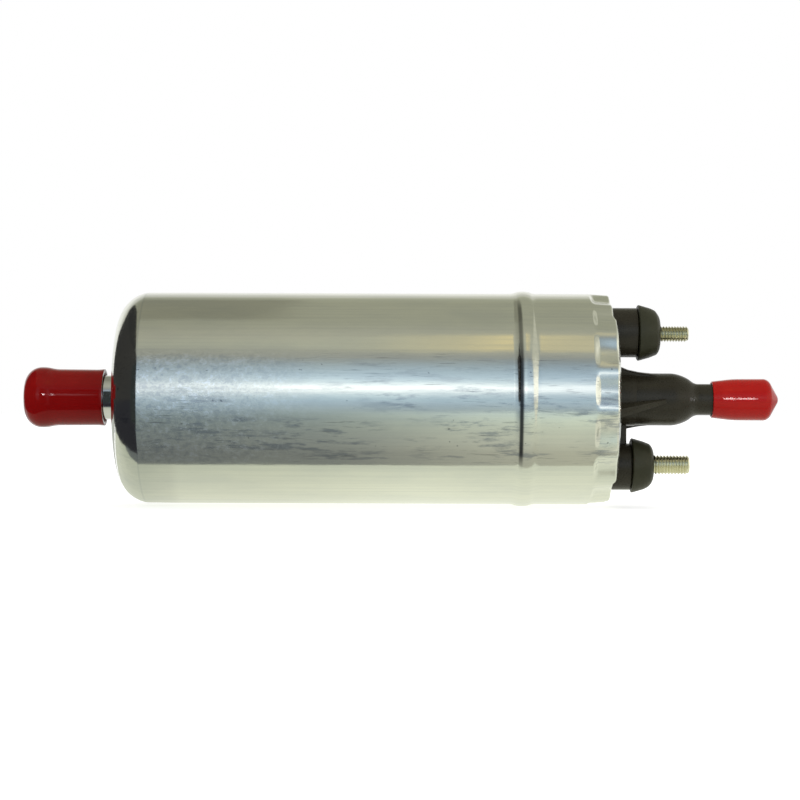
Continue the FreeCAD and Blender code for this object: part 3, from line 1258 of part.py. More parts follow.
def check():
    """Stops if an object failed to compute or a sub-part's shape isn't sound."""
    faults = []
    for thing in DOC.Objects:
        if "Invalid" in thing.State or "Error" in thing.State:
            faults.append(f"{thing.Label} of {[parent.Label for parent in thing.InList]} is {thing.State}")
    for piece in PIECES:
        if piece.Shape.isNull() or not piece.Shape.isValid() or not piece.Shape.Solids:
            faults.append(f"{piece.Label} has no sound shape")
    if faults:
        raise RuntimeError("; ".join(faults))


def write():
    """One STEP file for each sub-part, named by its label."""
    os.makedirs("parts", exist_ok=True)
    for piece in PIECES:
        piece.Shape.exportStep(f"parts/{piece.Label}.step")
    print(f"{len(PIECES)} sub-parts")


build()
DOC.recompute()
check()
write()
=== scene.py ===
"""The looks of an in-line electric fuel pump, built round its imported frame."""

import json
import logging
import math
from dataclasses import dataclass
from enum import Enum
from typing import Optional, Sequence

import bmesh
import bpy
from mathutils import Matrix, Vector


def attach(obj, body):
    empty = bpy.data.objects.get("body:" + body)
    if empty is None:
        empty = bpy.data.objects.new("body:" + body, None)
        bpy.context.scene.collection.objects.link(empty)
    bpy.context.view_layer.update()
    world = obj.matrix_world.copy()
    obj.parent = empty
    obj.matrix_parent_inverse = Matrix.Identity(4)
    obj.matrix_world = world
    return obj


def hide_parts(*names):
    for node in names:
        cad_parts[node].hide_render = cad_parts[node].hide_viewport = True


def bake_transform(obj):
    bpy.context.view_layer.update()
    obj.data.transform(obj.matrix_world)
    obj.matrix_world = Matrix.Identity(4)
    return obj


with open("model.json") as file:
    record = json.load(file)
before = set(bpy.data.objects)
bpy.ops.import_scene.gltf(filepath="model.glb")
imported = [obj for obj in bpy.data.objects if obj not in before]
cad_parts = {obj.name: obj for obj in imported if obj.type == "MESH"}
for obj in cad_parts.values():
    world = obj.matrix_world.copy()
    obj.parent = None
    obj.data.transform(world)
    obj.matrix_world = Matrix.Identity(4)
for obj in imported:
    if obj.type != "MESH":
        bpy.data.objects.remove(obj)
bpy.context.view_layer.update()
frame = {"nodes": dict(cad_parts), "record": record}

LOG = logging.getLogger("fuel_pump")
MM = 0.001
WELD = 0.0005
CUT = 0.0001
WAVE_FACTOR = 20.0
TURN = math.tau
BMesh = bmesh.types.BMesh
Thing = bpy.types.Object
Tree = bpy.types.NodeTree
Socket = bpy.types.NodeSocket
Pair = tuple[float, float]
Point = tuple[float, float, float]
Colour = tuple[float, float, float]
Value = float | Colour | Socket


class Body(Enum):
    """The moving bodies that the pieces ride on."""

    CASE = "pump_case"
    OUTLET_VALVE = "outlet_valve"
    RELIEF_VALVE = "relief_valve"
    UPPER_BRUSH = "upper_brush_body"
    LOWER_BRUSH = "lower_brush_body"
    INLET_CAP = "inlet_cap_body"
    OUTLET_CAP = "outlet_cap_body"
    UPPER_BOOT = "upper_boot_body"
    LOWER_BOOT = "lower_boot_body"


class Side(Enum):
    """Which terminal a piece belongs to: above or below the axis."""

    UPPER = 1
    LOWER = -1


@dataclass(frozen=True)
class Ring:
    """One corner of a turned outline, in millimetres, with how far its rounding reaches along each side."""

    x: float
    radius: float
    ease: float = 0.0
    steps: int = 4


def node(tree: Tree, kind: str, inputs: dict[int | str, Value], **settings: str) -> bpy.types.Node:
    """Adds a node with its settings and its inputs.

    Args:
        tree: The tree that it joins.
        kind: The node's type, without the ShaderNode at its start.
        inputs: A constant, a colour or a link for each socket, by its name or number.
        **settings: The node's own options.

    Returns:
        The new node.
    """
    new = tree.nodes.new("ShaderNode" + kind)
    for name, choice in settings.items():
        setattr(new, name, choice)
    for name, value in inputs.items():
        give(tree, new.inputs[name], value)
    return new


def give(tree: Tree, socket: Socket, value: Value) -> None:
    """Puts a value into one socket.

    Args:
        tree: The socket's tree.
        socket: The input to fill.
        value: A constant, a colour or another node's output.
    """
    if isinstance(value, Socket):
        tree.links.new(value, socket)
    elif isinstance(value, tuple) and socket.type == "RGBA":
        socket.default_value = (*value, 1.0)
    else:
        socket.default_value = value


class Recipe:
    """A material's node tree, written one step at a time."""

    def __init__(self, name: str) -> None:
        """Starts a material with a bare surface shader.

        Args:
            name: The material's name.
        """
        self.material = bpy.data.materials.new(name)
        self.material.use_nodes = True
        self.tree = self.material.node_tree
        self.shader = self.tree.nodes["Principled BSDF"]
        self.place = node(self.tree, "TexCoord", {}).outputs["Object"]

    def noise(self, along: float, across: float, detail: float = 3.0, rough: float = 0.55) -> Socket:
        """A soft noise, stretched along the pump's axis.

        Args:
            along: Cycles per metre along the axis.
            across: Cycles per metre square to it.
            detail: How many finer layers it has.
            rough: How strong the finer layers are.

        Returns:
            The noise, from 0 to 1.
        """
        scaled = node(self.tree, "Mapping", {"Vector": self.place, "Scale": (along, across, across)})
        inputs = {"Vector": scaled.outputs["Vector"], "Scale": 1.0, "Detail": detail, "Roughness": rough}
        return node(self.tree, "TexNoise", inputs).outputs["Fac"]

    def span(self, value: Socket, low: float, high: float, to_low: float = 0.0,
             to_high: float = 1.0) -> Socket:
        """Spreads the part of a value between two limits over another range, and holds it there.

        Args:
            value: The value.
            low: Its first limit.
            high: Its second limit.
            to_low: What the first limit becomes.
            to_high: What the second limit becomes.

        Returns:
            The spread value.
        """
        limits = {"Value": value, "From Min": low, "From Max": high, "To Min": to_low, "To Max": to_high}
        return node(self.tree, "MapRange", limits, interpolation_type="SMOOTHSTEP").outputs["Result"]

    def band(self, value: Socket, rise: Pair, fall: Pair) -> Socket:
        """1 where a value lies between its rise and its fall, 0 outside them."""
        return self.times(self.span(value, *rise), self.span(value, *fall, 1.0, 0.0))

    def times(self, first: Socket, second: Value, operation: str = "MULTIPLY") -> Socket:
        """Two values multiplied, or joined by another operation."""
        return node(self.tree, "Math", {0: first, 1: second}, operation=operation).outputs["Value"]

    def blend(self, amount: Socket, first: Value, second: Value) -> Socket:
        """The first colour where amount is 0, the second where it is 1."""
        return node(self.tree, "Mix", {"Factor": amount, 6: first, 7: second}, data_type="RGBA").outputs[2]

    def coordinate(self, axis: str) -> Socket:
        """One of the object's own coordinates, in metres."""
        return node(self.tree, "SeparateXYZ", {"Vector": self.place}).outputs[axis]

    def finish(self, bumps: Sequence[tuple[Socket, float]], **values: Value) -> bpy.types.Material:
        """Fills the shader's sockets and raises the surface.

        Args:
            bumps: Patterns, each with its depth in millimetres.
            **values: Values by the shader's socket names, with underscores for spaces.

        Returns:
            The finished material.
        """
        for name, value in values.items():
            give(self.tree, self.shader.inputs[name.replace("_", " ")], value)
        normal: dict[str, Value] = {}
        for height, depth in bumps:
            inputs = {"Height": height, "Distance": depth * MM, "Strength": 1.0, **normal}
            normal = {"Normal": node(self.tree, "Bump", inputs).outputs["Normal"]}
        give(self.tree, self.shader.inputs["Normal"], normal["Normal"])
        return self.material


@dataclass(frozen=True)
class DrawnAluminium:
    """Satin drawn sheet: rubbed along its sides and etched towards the closed end, with painted shade in a
    dark line at the foot of the bead and in a faint line along the crease.

    Each place is where a pattern rises and where it falls, in metres along the axis or above it.
    """

    bright: Colour = (0.80, 0.81, 0.74)
    haze: Colour = (0.70, 0.72, 0.69)
    dull: Colour = (0.50, 0.53, 0.56)
    shade: Colour = (0.40, 0.43, 0.46)
    stain: Colour = (0.17, 0.18, 0.20)
    frost: Colour = (0.93, 0.96, 0.98)
    # Painted shade: the dark colour of a line in the concave foot of the bead.
    painted_bead_shade: Colour = (0.030, 0.034, 0.040)
    roughness: float = 0.125
    sides: tuple[Pair, Pair] = ((-0.0165, -0.0135), (0.0088, 0.0120))
    low_sides: Pair = (-0.001, 0.003)
    etching: tuple[Pair, Pair] = ((-0.0466, -0.0460), (-0.034, 0.004))
    worn: tuple[Pair, Pair] = ((-0.034, -0.024), (0.004, 0.016))
    worn_height: tuple[Pair, Pair] = ((-0.0145, -0.0115), (-0.0065, -0.0035))
    # Painted shade: a faint dull line along the crease at the closed end.
    crease_shade_place: tuple[Pair, Pair] = ((-0.04670, -0.04640), (-0.04630, -0.04600))
    # Painted shade: a dark line in the foot of the bead over these heights, weaker higher up.
    bead_shade_place: tuple[Pair, Pair] = ((0.04400, 0.04450), (0.04490, 0.04545))
    bead_shade_height: tuple[Pair, Pair] = ((-0.0175, -0.0125), (0.0215, 0.0245))
    bead_shade_fade: Pair = (0.004, 0.016)
    crimp: Pair = (0.0615, 0.0640)

    def material(self, name: str) -> bpy.types.Material:
        """Lays the marks and the painted shade lines over the bare sheet, one after another.

        Args:
            name: The material's name.

        Returns:
            The material.
        """
        recipe = Recipe(name)
        times, span, noise = recipe.times, recipe.span, recipe.noise
        along, height = recipe.coordinate("X"), recipe.coordinate("Z")
        sides = recipe.band(height, *self.sides)
        etched = times(recipe.band(along, *self.etching), sides)
        crimped = span(along, *self.crimp)
        worn = times(recipe.band(along, *self.worn), recipe.band(height, *self.worn_height))
        patches = times(times(span(noise(34.0, 90.0), 0.42, 0.58), sides), worn, "MAXIMUM")
        smudges = times(span(noise(105.0, 560.0, 4.0, 0.66), 0.49, 0.64), patches)
        streaks = times(span(noise(130.0, 2000.0, 3.0, 0.6), 0.58, 0.72), patches)
        pits = times(span(noise(520.0, 700.0, 2.0, 0.5), 0.735, 0.77), sides)
        # Painted shade in the foot of the bead, darker towards the bottom.
        bead_shade_mask = times(recipe.band(along, *self.bead_shade_place), recipe.band(height, *self.bead_shade_height))
        bead_shade_mask = times(bead_shade_mask, span(height, *self.bead_shade_fade, 0.95, 0.60))
        drawn = noise(14.0, 1300.0, 3.0, 0.6)
        mottle = noise(560.0, 760.0, 4.0, 0.74)
        layers = (
            (span(noise(45.0, 110.0, 4.0, 0.6), 0.35, 0.7, 0.0, 0.6), self.haze),
            (span(drawn, 0.35, 0.75, 0.0, 0.16), self.dull),
            (times(times(smudges, span(height, *self.low_sides, 1.0, 0.35)), 0.90), self.shade),
            (times(span(mottle, 0.50, 0.38, 0.0, 0.55), etched), self.dull),
            (times(span(mottle, 0.51, 0.64, 0.0, 0.75), etched), self.frost),
            (times(streaks, 0.55), self.stain),
            (times(pits, 0.7), self.stain),
            # Painted shade along the crease at the closed end.
            (times(recipe.band(along, *self.crease_shade_place), 0.25), self.dull),
            # Painted shade: the dark line in the foot of the bead.
            (bead_shade_mask, self.painted_bead_shade),
        )
        colour: Value = self.bright
        for mask, paint in layers:
            colour = recipe.blend(mask, colour, paint)
        rough = span(drawn, 0.3, 0.7, self.roughness - 0.025, self.roughness + 0.035)
        for mask, extra in ((smudges, 0.08), (etched, 0.10), (crimped, 0.07)):
            rough = times(rough, times(mask, extra), "ADD")
        wave, blots = noise(26.0, 70.0, 2.0, 0.5), noise(95.0, 420.0, 3.0, 0.6)
        dents = times(noise(190.0, 190.0, 2.0, 0.5), crimped)
        bumps = [(wave, 0.10), (blots, 0.016), (times(mottle, etched), 0.030), (dents, 0.14), (drawn, 0.002)]
        return recipe.finish(bumps, Base_Color=colour, Metallic=1.0, Roughness=rough)


@dataclass(frozen=True)
class Metal:
    """Plain metal with a grain of its own."""

    colour: Colour
    tarnish: Colour
    roughness: float
    along: float = 400.0
    across: float = 400.0
    depth: float = 0.01

    def material(self, name: str) -> bpy.types.Material:
        """Clouds the metal with tarnish and varies its polish with the grain.

        Args:
            name: The material's name.

        Returns:
            The material.
        """
        recipe = Recipe(name)
        grain = recipe.noise(self.along, self.across, 4.0)
        cloud = recipe.noise(self.along / 6, self.across / 6)
        colour = recipe.blend(recipe.span(cloud, 0.35, 0.7), self.colour, self.tarnish)
        rough = recipe.span(grain, 0.3, 0.7, self.roughness * 0.8, self.roughness * 1.25)
        return recipe.finish([(grain, self.depth)], Base_Color=colour, Metallic=1.0, Roughness=rough)


@dataclass(frozen=True)
class Moulding:
    """Moulded plastic, rubber, carbon or ceramic: a fine skin, faint clouds and lighter rubbed places."""

    colour: Colour
    rubbed: Colour
    roughness: float
    gloss: float = 0.5
    skin: float = 2200.0
    depth: float = 0.01

    def material(self, name: str) -> bpy.types.Material:
        """Lightens the rubbed places and roughens the skin.

        Args:
            name: The material's name.

        Returns:
            The material.
        """
        recipe = Recipe(name)
        skin = recipe.noise(self.skin, self.skin)
        cloud = recipe.span(recipe.noise(90.0, 90.0, 4.0, 0.6), 0.35, 0.75)
        dust = recipe.span(recipe.noise(600.0, 600.0, 3.0, 0.7), 0.35, 0.8, 0.5, 1.0)
        colour = recipe.blend(recipe.times(cloud, dust), self.colour, self.rubbed)
        rough = recipe.span(skin, 0.3, 0.7, self.roughness * 0.85, self.roughness * 1.15)
        bumps = [(skin, self.depth)]
        return recipe.finish(bumps, Base_Color=colour, Roughness=rough, Specular_IOR_Level=self.gloss)


@dataclass(frozen=True)
class Striped:
    """Metal laid in fine rings along the axis, as laminations or wound wire are."""

    colour: Colour
    groove: Colour
    pitch: float
    roughness: float
    groove_depth: float = 0.08
    grain_depth: float = 0.01

    def material(self, name: str) -> bpy.types.Material:
        """Darkens and sinks the grooves between the rings.

        Args:
            name: The material's name.

        Returns:
            The material.
        """
        recipe = Recipe(name)
        inputs = {"Vector": recipe.place, "Scale": TURN / (self.pitch * MM) / WAVE_FACTOR, "Distortion": 0.4}
        wave = node(recipe.tree, "TexWave", inputs, wave_type="BANDS", bands_direction="X")
        stripe = recipe.span(wave.outputs["Fac"], 0.1, 0.6)
        grain = recipe.noise(900.0, 900.0)
        colour = recipe.blend(stripe, self.groove, self.colour)
        rough = recipe.span(grain, 0.3, 0.7, self.roughness * 0.8, self.roughness * 1.2)
        bumps = [(stripe, self.groove_depth), (grain, self.grain_depth)]
        return recipe.finish(bumps, Base_Color=colour, Metallic=1.0, Roughness=rough)


Finish = DrawnAluminium | Metal | Moulding | Striped

FINISHES: dict[str, Finish] = {
    "can_aluminium": DrawnAluminium(),
    "nipple_zinc": Metal((0.86, 0.86, 0.84), (0.74, 0.75, 0.74), 0.10, depth=0.003),
    "stud_zinc": Metal((0.70, 0.68, 0.51), (0.54, 0.52, 0.36), 0.25, 1200.0, 1200.0, 0.008),
    "bright_steel": Metal((0.62, 0.62, 0.61), (0.52, 0.52, 0.52), 0.18, 900.0, 900.0, 0.003),
    "flux_steel": Metal((0.45, 0.46, 0.48), (0.34, 0.34, 0.35), 0.40, 60.0, 700.0, 0.01),
    "cast_aluminium": Metal((0.62, 0.62, 0.60), (0.50, 0.50, 0.49), 0.48, 900.0, 900.0, 0.03),
    "lamination_steel": Striped((0.42, 0.42, 0.44), (0.10, 0.10, 0.11), 0.5, 0.45),
    "ferrite": Moulding((0.07, 0.07, 0.078), (0.12, 0.12, 0.125), 0.62, 0.5, 1500.0, 0.02),
    "copper_wire": Striped((0.62, 0.25, 0.10), (0.20, 0.06, 0.03), 0.62, 0.28),
    "commutator_copper": Metal((0.86, 0.50, 0.32), (0.60, 0.32, 0.20), 0.26, 2400.0, 60.0, 0.006),
    "bronze_bush": Metal((0.58, 0.40, 0.20), (0.42, 0.28, 0.14), 0.42, 1500.0, 1500.0, 0.012),
    "brass_parts": Metal((0.80, 0.63, 0.30), (0.62, 0.46, 0.22), 0.26, 700.0, 700.0, 0.006),
    "brush_carbon": Moulding((0.035, 0.035, 0.037), (0.08, 0.08, 0.08), 0.55, 0.4, 2600.0, 0.02),
    "rubber_seal": Moulding((0.022, 0.022, 0.022), (0.05, 0.05, 0.048), 0.6, 0.4),
    "boot_rubber": Moulding((0.029, 0.029, 0.014), (0.050, 0.050, 0.028), 0.42, 0.25, 1800.0, 0.012),
    "cover_plastic": Moulding((0.024, 0.020, 0.012), (0.044, 0.040, 0.026), 0.30, 0.24, 2600.0, 0.008),
    "brush_plate_plastic": Moulding((0.36, 0.32, 0.25), (0.46, 0.42, 0.34), 0.45),
    "inlet_cap_red": Moulding((0.215, 0.003, 0.003), (0.265, 0.006, 0.005), 0.10, 0.20, 500.0, 0.002),
    "outlet_cap_red": Moulding((0.43, 0.007, 0.006), (0.52, 0.013, 0.009), 0.10, 0.20, 500.0, 0.002),
}


def smooth(value: float, low: float, high: float) -> float:
    """0 below low, 1 above high, and an even curve between them."""
    share = min(1.0, max(0.0, (value - low) / (high - low)))
    return share * share * (3 - 2 * share)


def draw_in(point: bmesh.types.BMVert, scale: float) -> None:
    """Moves a vertex to a share of its distance from the axis."""
    point.co.y *= scale
    point.co.z *= scale


def ease_edges(mesh: BMesh, edges: list[bmesh.types.BMEdge], reach: float, steps: int, clamp: bool) -> None:
    """Rounds edges.

    Args:
        mesh: The mesh that they are on.
        edges: The edges.
        reach: How far the rounding reaches along each side.
        steps: Faces across the rounding.
        clamp: Whether a rounding stops where it meets another.
    """
    bmesh.ops.bevel(mesh, geom=edges, offset=reach, offset_type="OFFSET", segments=steps, profile=0.5,
                    affect="EDGES", material=-1, clamp_overlap=clamp)


def on_ring(edge: bmesh.types.BMEdge, ring: Ring) -> bool:
    """Whether an edge runs round the axis along a corner of the outline.

    Args:
        edge: The edge.
        ring: The corner.

    Returns:
        True if both ends of the edge lie on the corner.
    """
    near = WELD * 10
    return all(abs(point.co.x - ring.x) < near and abs(point.co.yz.length - ring.radius) < near
               for point in edge.verts)


def crosses(face: bmesh.types.BMFace, x: float) -> bool:
    """Whether a face reaches across a place on the axis."""
    reach = [point.co.x for point in face.verts]
    return min(reach) < x < max(reach)


def turned(outline: Sequence[Ring], segments: int, closed: bool = False) -> BMesh:
    """Turns an outline about the pump's axis and rounds its corners.

    Args:
        outline: The corners, in millimetres.
        segments: Faces round the axis.
        closed: Whether the last corner joins the first, as on a ring.

    Returns:
        The turned mesh, in millimetres.
    """
    mesh = bmesh.new()
    points = [mesh.verts.new((ring.x, 0.0, ring.radius)) for ring in outline]
    pairs = list(zip(points, points[1:]))
    if closed:
        pairs.append((points[-1], points[0]))
    lines = [mesh.edges.new(pair) for pair in pairs]
    bmesh.ops.spin(mesh, geom=points + lines, cent=(0, 0, 0), axis=(1, 0, 0), angle=TURN, steps=segments,
                   use_merge=True)
    bmesh.ops.remove_doubles(mesh, verts=mesh.verts[:], dist=WELD)
    bmesh.ops.recalc_face_normals(mesh, faces=mesh.faces[:])
    for ring in outline:
        if ring.ease > 0:
            corner = [edge for edge in mesh.edges if on_ring(edge, ring)]
            ease_edges(mesh, corner, ring.ease, ring.steps, False)
    return mesh


def rod(start: float, end: float, radius: float, segments: int, ease: float = 0.0, steps: int = 4) -> BMesh:
    """A solid rod on the axis.

    Args:
        start: Where it starts.
        end: Where it ends.
        radius: Its radius.
        segments: Faces round the axis.
        ease: How far the edge at its end is rounded.
        steps: Faces across that rounding.

    Returns:
        The rod's mesh.
    """
    outline = [Ring(start, 0.0), Ring(start, radius), Ring(end, radius, ease, steps), Ring(end, 0.0)]
    return turned(outline, segments)


def slab(corners: Sequence[Pair], thickness: float, ease: float) -> BMesh:
    """A flat rib with a thickness across and eased edges.

    Args:
        corners: The outline, along the axis and above it, in millimetres.
        thickness: The rib's thickness.
        ease: How far its edges are rounded.

    Returns:
        The rib's mesh, upright on the axis.
    """
    mesh = bmesh.new()
    face = mesh.faces.new([mesh.verts.new((x, -thickness / 2, z)) for x, z in corners])
    grown = bmesh.ops.extrude_face_region(mesh, geom=[face])
    moved = [item for item in grown["geom"] if isinstance(item, bmesh.types.BMVert)]
    bmesh.ops.translate(mesh, verts=moved, vec=(0, thickness, 0))
    bmesh.ops.recalc_face_normals(mesh, faces=mesh.faces[:])
    ease_edges(mesh, mesh.edges[:], ease, 2, True)
    return mesh


def shifted(mesh: BMesh, z: float = 0.0, lean: float = 0.0) -> BMesh:
    """Turns a mesh about the pump's axis, then lifts it.

    Args:
        mesh: The mesh, which changes.
        z: The lift above the axis.
        lean: The turn in degrees.

    Returns:
        The same mesh.
    """
    turn = Matrix.Rotation(math.radians(lean), 3, "X")
    bmesh.ops.rotate(mesh, verts=mesh.verts[:], cent=(0, 0, 0), matrix=turn)
    bmesh.ops.translate(mesh, verts=mesh.verts[:], vec=(0, 0, z))
    return mesh


def merge(mesh: BMesh, part: BMesh) -> None:
    """Adds one mesh to another.

    Args:
        mesh: The mesh that grows.
        part: The mesh that is added, which is used up.
    """
    data = bpy.data.meshes.new("part")
    part.to_mesh(data)
    part.free()
    mesh.from_mesh(data)
    bpy.data.meshes.remove(data)


def placed(name: str, mesh: BMesh) -> Thing:
    """Puts a mesh into the scene as it is.

    Args:
        name: The object's name.
        mesh: The mesh, which is used up.

    Returns:
        The new object, at the origin.
    """
    data = bpy.data.meshes.new(name)
    mesh.to_mesh(data)
    mesh.free()
    thing = bpy.data.objects.new(name, data)
    bpy.context.scene.collection.objects.link(thing)
    return thing


def as_object(name: str, mesh: BMesh, crease: float = 32.0) -> Thing:
    """Ends a mesh in millimetres as an object in metres, smooth except over creases.

    Args:
        name: The object's name.
        mesh: The mesh, which is used up.
        crease: The angle in degrees past which an edge stays sharp.

    Returns:
        The new object, at the origin.
    """
    bmesh.ops.scale(mesh, vec=(MM, MM, MM), verts=mesh.verts[:])
    for face in mesh.faces:
        face.smooth = True
    thing = placed(name, mesh)
    thing.data.set_sharp_from_angle(angle=math.radians(crease))
    return thing


def joined(target: Thing, tools: Sequence[tuple[Thing, str]], crease: float) -> None:
    """Unites tools with an object or cuts them from it, then removes them.

    Args:
        target: The object that changes.
        tools: Each tool with UNION or DIFFERENCE.
        crease: The angle in degrees past which an edge stays sharp.
    """
    for tool, operation in tools:
        change = target.modifiers.new(tool.name, "BOOLEAN")
        change.operation = operation
        change.object = tool
        change.solver = "EXACT"
    graph = bpy.context.evaluated_depsgraph_get()
    whole = bpy.data.meshes.new_from_object(target.evaluated_get(graph))
    target.modifiers.clear()
    target.data = whole
    for tool, _ in tools:
        bpy.data.objects.remove(tool)
    whole.shade_smooth()
    whole.set_sharp_from_angle(angle=math.radians(crease))


class Wardrobe:
    """The finishes made so far, by the record's slot, and the pieces that wear them."""

    def __init__(self) -> None:
        """Makes one material for each slot."""
        self.materials = {slot: finish.material(slot) for slot, finish in FINISHES.items()}
        self.slots = {part["node"]: part["material_slot"] for part in frame["record"]["subparts"]}

    def dress(self, thing: Thing, slot: str) -> None:
        """Gives an object a slot's finish."""
        thing.data.materials.clear()
        thing.data.materials.append(self.materials[slot])

    def piece(self, thing: Thing, body: Body, slot: str, *nodes: str) -> None:
        """Finishes a new piece.

        Args:
            thing: The piece.
            body: The body that it rides on.
            slot: Its finish.
            *nodes: The CAD nodes that it stands for.
        """
        self.dress(thing, slot)
        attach(thing, body.value)
        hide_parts(*nodes)
        LOG.info("%s: %d faces, in %s", thing.name, len(thing.data.polygons), slot)

    def dress_nodes(self) -> None:
        """Gives every CAD node, shown or hidden, the finish of its slot."""
        for name, slot in self.slots.items():
            self.dress(frame["nodes"][name], slot)
            LOG.info("%s: CAD node, in %s", name, slot)


@dataclass
class Can:
    """The drawn can with its bead, and the rim that is crimped in flats and turned in over the cover."""

    bottom: float = -53.1
    end_wall: float = 1.2
    hole: float = 5.55
    radius: float = 26.0
    bore: float = 25.0
    dome: float = 8.1
    dome_steps: int = 36
    crease: float = -46.3
    crease_radius: float = 25.94
    taper_start: float = -36.0
    bead_start: float = 43.5
    bead_crest: float = 46.1
    bead_end: float = 48.7
    bead_knee: float = 27.005
    bead_toe: float = 0.6
    bead_round: float = 2.05
    crimp_start: float = 62.0
    crimp_step: float = 1.5
    rim: float = 67.9
    lip: float = 68.5
    lip_radius: float = 22.6
    step_drop: float = 0.85
    drop: float = 1.30
    inner_drop: float = 1.05
    ridge_drop: float = 0.30
    rim_notch: float = 0.7
    notch_start: float = 50.0
    notch_end: float = 54.0
    notch_rise: Pair = (0.2, 1.0)
    flats: int = 16
    phase: float = 4.50
    uneven: float = 0.10
    uneven_turn: float = 2.4
    segments: int = 448
    step_rings: int = 11
    crimp_rings: int = 9
    rim_margin: float = 0.5
    slack: float = 0.2
    near: float = 0.12

    def build(self, wardrobe: Wardrobe) -> None:
        """Turns the can, presses its crimp and puts it in place.

        Args:
            wardrobe: The finishes.
        """
        mesh = turned(self.outline(), self.segments, closed=True)
        self.add_rings(mesh)
        self.press(mesh)
        wardrobe.piece(as_object("drawn_can", mesh, 28.0), Body.CASE, "can_aluminium", "can")

    def outline(self) -> list[Ring]:
        """The sheet's section: outside from the inlet to the lip, then back along the inside.

        Returns:
            The section's corners.
        """
        wall = self.radius - self.bore
        return [
            Ring(self.bottom, self.hole, 0.25, 2),
            *self.dome_rings(),
            Ring(self.crease + self.near, self.crease_radius),
            Ring(self.taper_start - self.near, self.radius),
            Ring(self.taper_start + self.near, self.radius),
            Ring(self.bead_start - self.bead_toe - self.near, self.radius),
            Ring(self.bead_start, self.radius, self.bead_toe, 4),
            Ring(self.bead_crest, self.bead_knee, self.bead_round, 14),
            Ring(self.bead_end, self.radius, self.bead_toe, 4),
            Ring(self.bead_end + self.bead_toe + self.near, self.radius),
            Ring(self.crimp_start - self.near, self.radius),
            Ring(self.rim, self.radius - self.ridge_drop / 2, 0.45, 4),
            Ring(self.lip, self.lip_radius, 0.15, 2),
            Ring(self.lip - wall, self.lip_radius),
            Ring(self.rim - wall, self.bore - self.inner_drop),
            Ring(self.crimp_start, self.bore),
            Ring(self.bottom + self.end_wall, self.bore, self.dome - 1.0, 8),
            Ring(self.bottom + self.end_wall, self.hole),
        ]

    def dome_rings(self) -> list[Ring]:
        """The rounded corner at the closed end, which meets the side at a faint crease.

        Returns:
            The corner's section, from the flat end to the crease.
        """
        start = math.asin(1 - (self.crease - self.bottom) / self.dome)
        centre = self.crease_radius - self.dome * math.cos(start)
        angles = [start + (math.pi / 2 - start) * i / self.dome_steps for i in range(self.dome_steps + 1)]
        return [Ring(self.bottom + self.dome * (1 - math.sin(angle)), centre + self.dome * math.cos(angle))
                for angle in reversed(angles)]

    def add_rings(self, mesh: BMesh) -> None:
        """Cuts the outside of the crimp into narrow rings, so that the flats can be pressed into it.

        Args:
            mesh: The turned can.
        """
        step_end = self.crimp_start + self.crimp_step
        length = self.rim - self.rim_margin - step_end
        places = [self.crimp_start + self.crimp_step * i / self.step_rings for i in range(self.step_rings)]
        places += [step_end + length * i / self.crimp_rings for i in range(self.crimp_rings + 1)]
        for x in places:
            outside = [face for face in mesh.faces
                       if face.calc_center_median().yz.length > self.bore + self.slack and crosses(face, x)]
            edges = {edge for face in outside for edge in face.edges}
            points = {point for face in outside for point in face.verts}
            bmesh.ops.bisect_plane(mesh, geom=[*outside, *edges, *points], dist=CUT, plane_co=(x, 0, 0),
                                   plane_no=(1, 0, 0))

    def press(self, mesh: BMesh) -> None:
        """Presses shallow scallops into the rim, and the rim back at the terminals.

        Args:
            mesh: The can, cut into rings.
        """
        for point in mesh.verts:
            radius = point.co.yz.length
            if point.co.x < self.crimp_start or radius < self.lip_radius - self.slack:
                continue
            angle = math.atan2(point.co.z, -point.co.y)
            share = min(1.0, (point.co.x - self.crimp_start) / (self.rim - self.crimp_start))
            if radius > self.bore + self.slack / 2:
                start_radius = self.radius - self.ridge_drop / 2 * share
                wanted = self.pressed_radius(point.co.x, angle, share)
                draw_in(point, min(1.0, 1.0 + (wanted - start_radius) / radius))
            tilt = math.degrees(math.asin(min(1.0, abs(math.sin(angle)))))
            notch = smooth(tilt, self.notch_start, self.notch_end) * smooth(share, *self.notch_rise)
            point.co.x -= self.rim_notch * notch

    def pressed_radius(self, x: float, angle: float, share: float) -> float:
        """How far from the axis the pressed sheet lies, with ridges left between the scallops.

        Args:
            x: The place along the axis.
            angle: The angle round it.
            share: The share of the crimp's length that lies behind the place.

        Returns:
            The radius.
        """
        pitch = TURN / self.flats
        turn = angle - math.radians(self.phase)
        count = round(turn / pitch)
        step = smooth(x - self.crimp_start, 0.0, self.crimp_step)
        depth = self.step_drop * step + (self.drop - self.step_drop) * share
        depth *= 1 + self.uneven * math.sin(count * self.uneven_turn)
        pressed = 0.5 + 0.5 * math.cos(TURN * (turn / pitch - count))
        return self.radius - depth * pressed - self.ridge_drop * share * (1 - pressed)


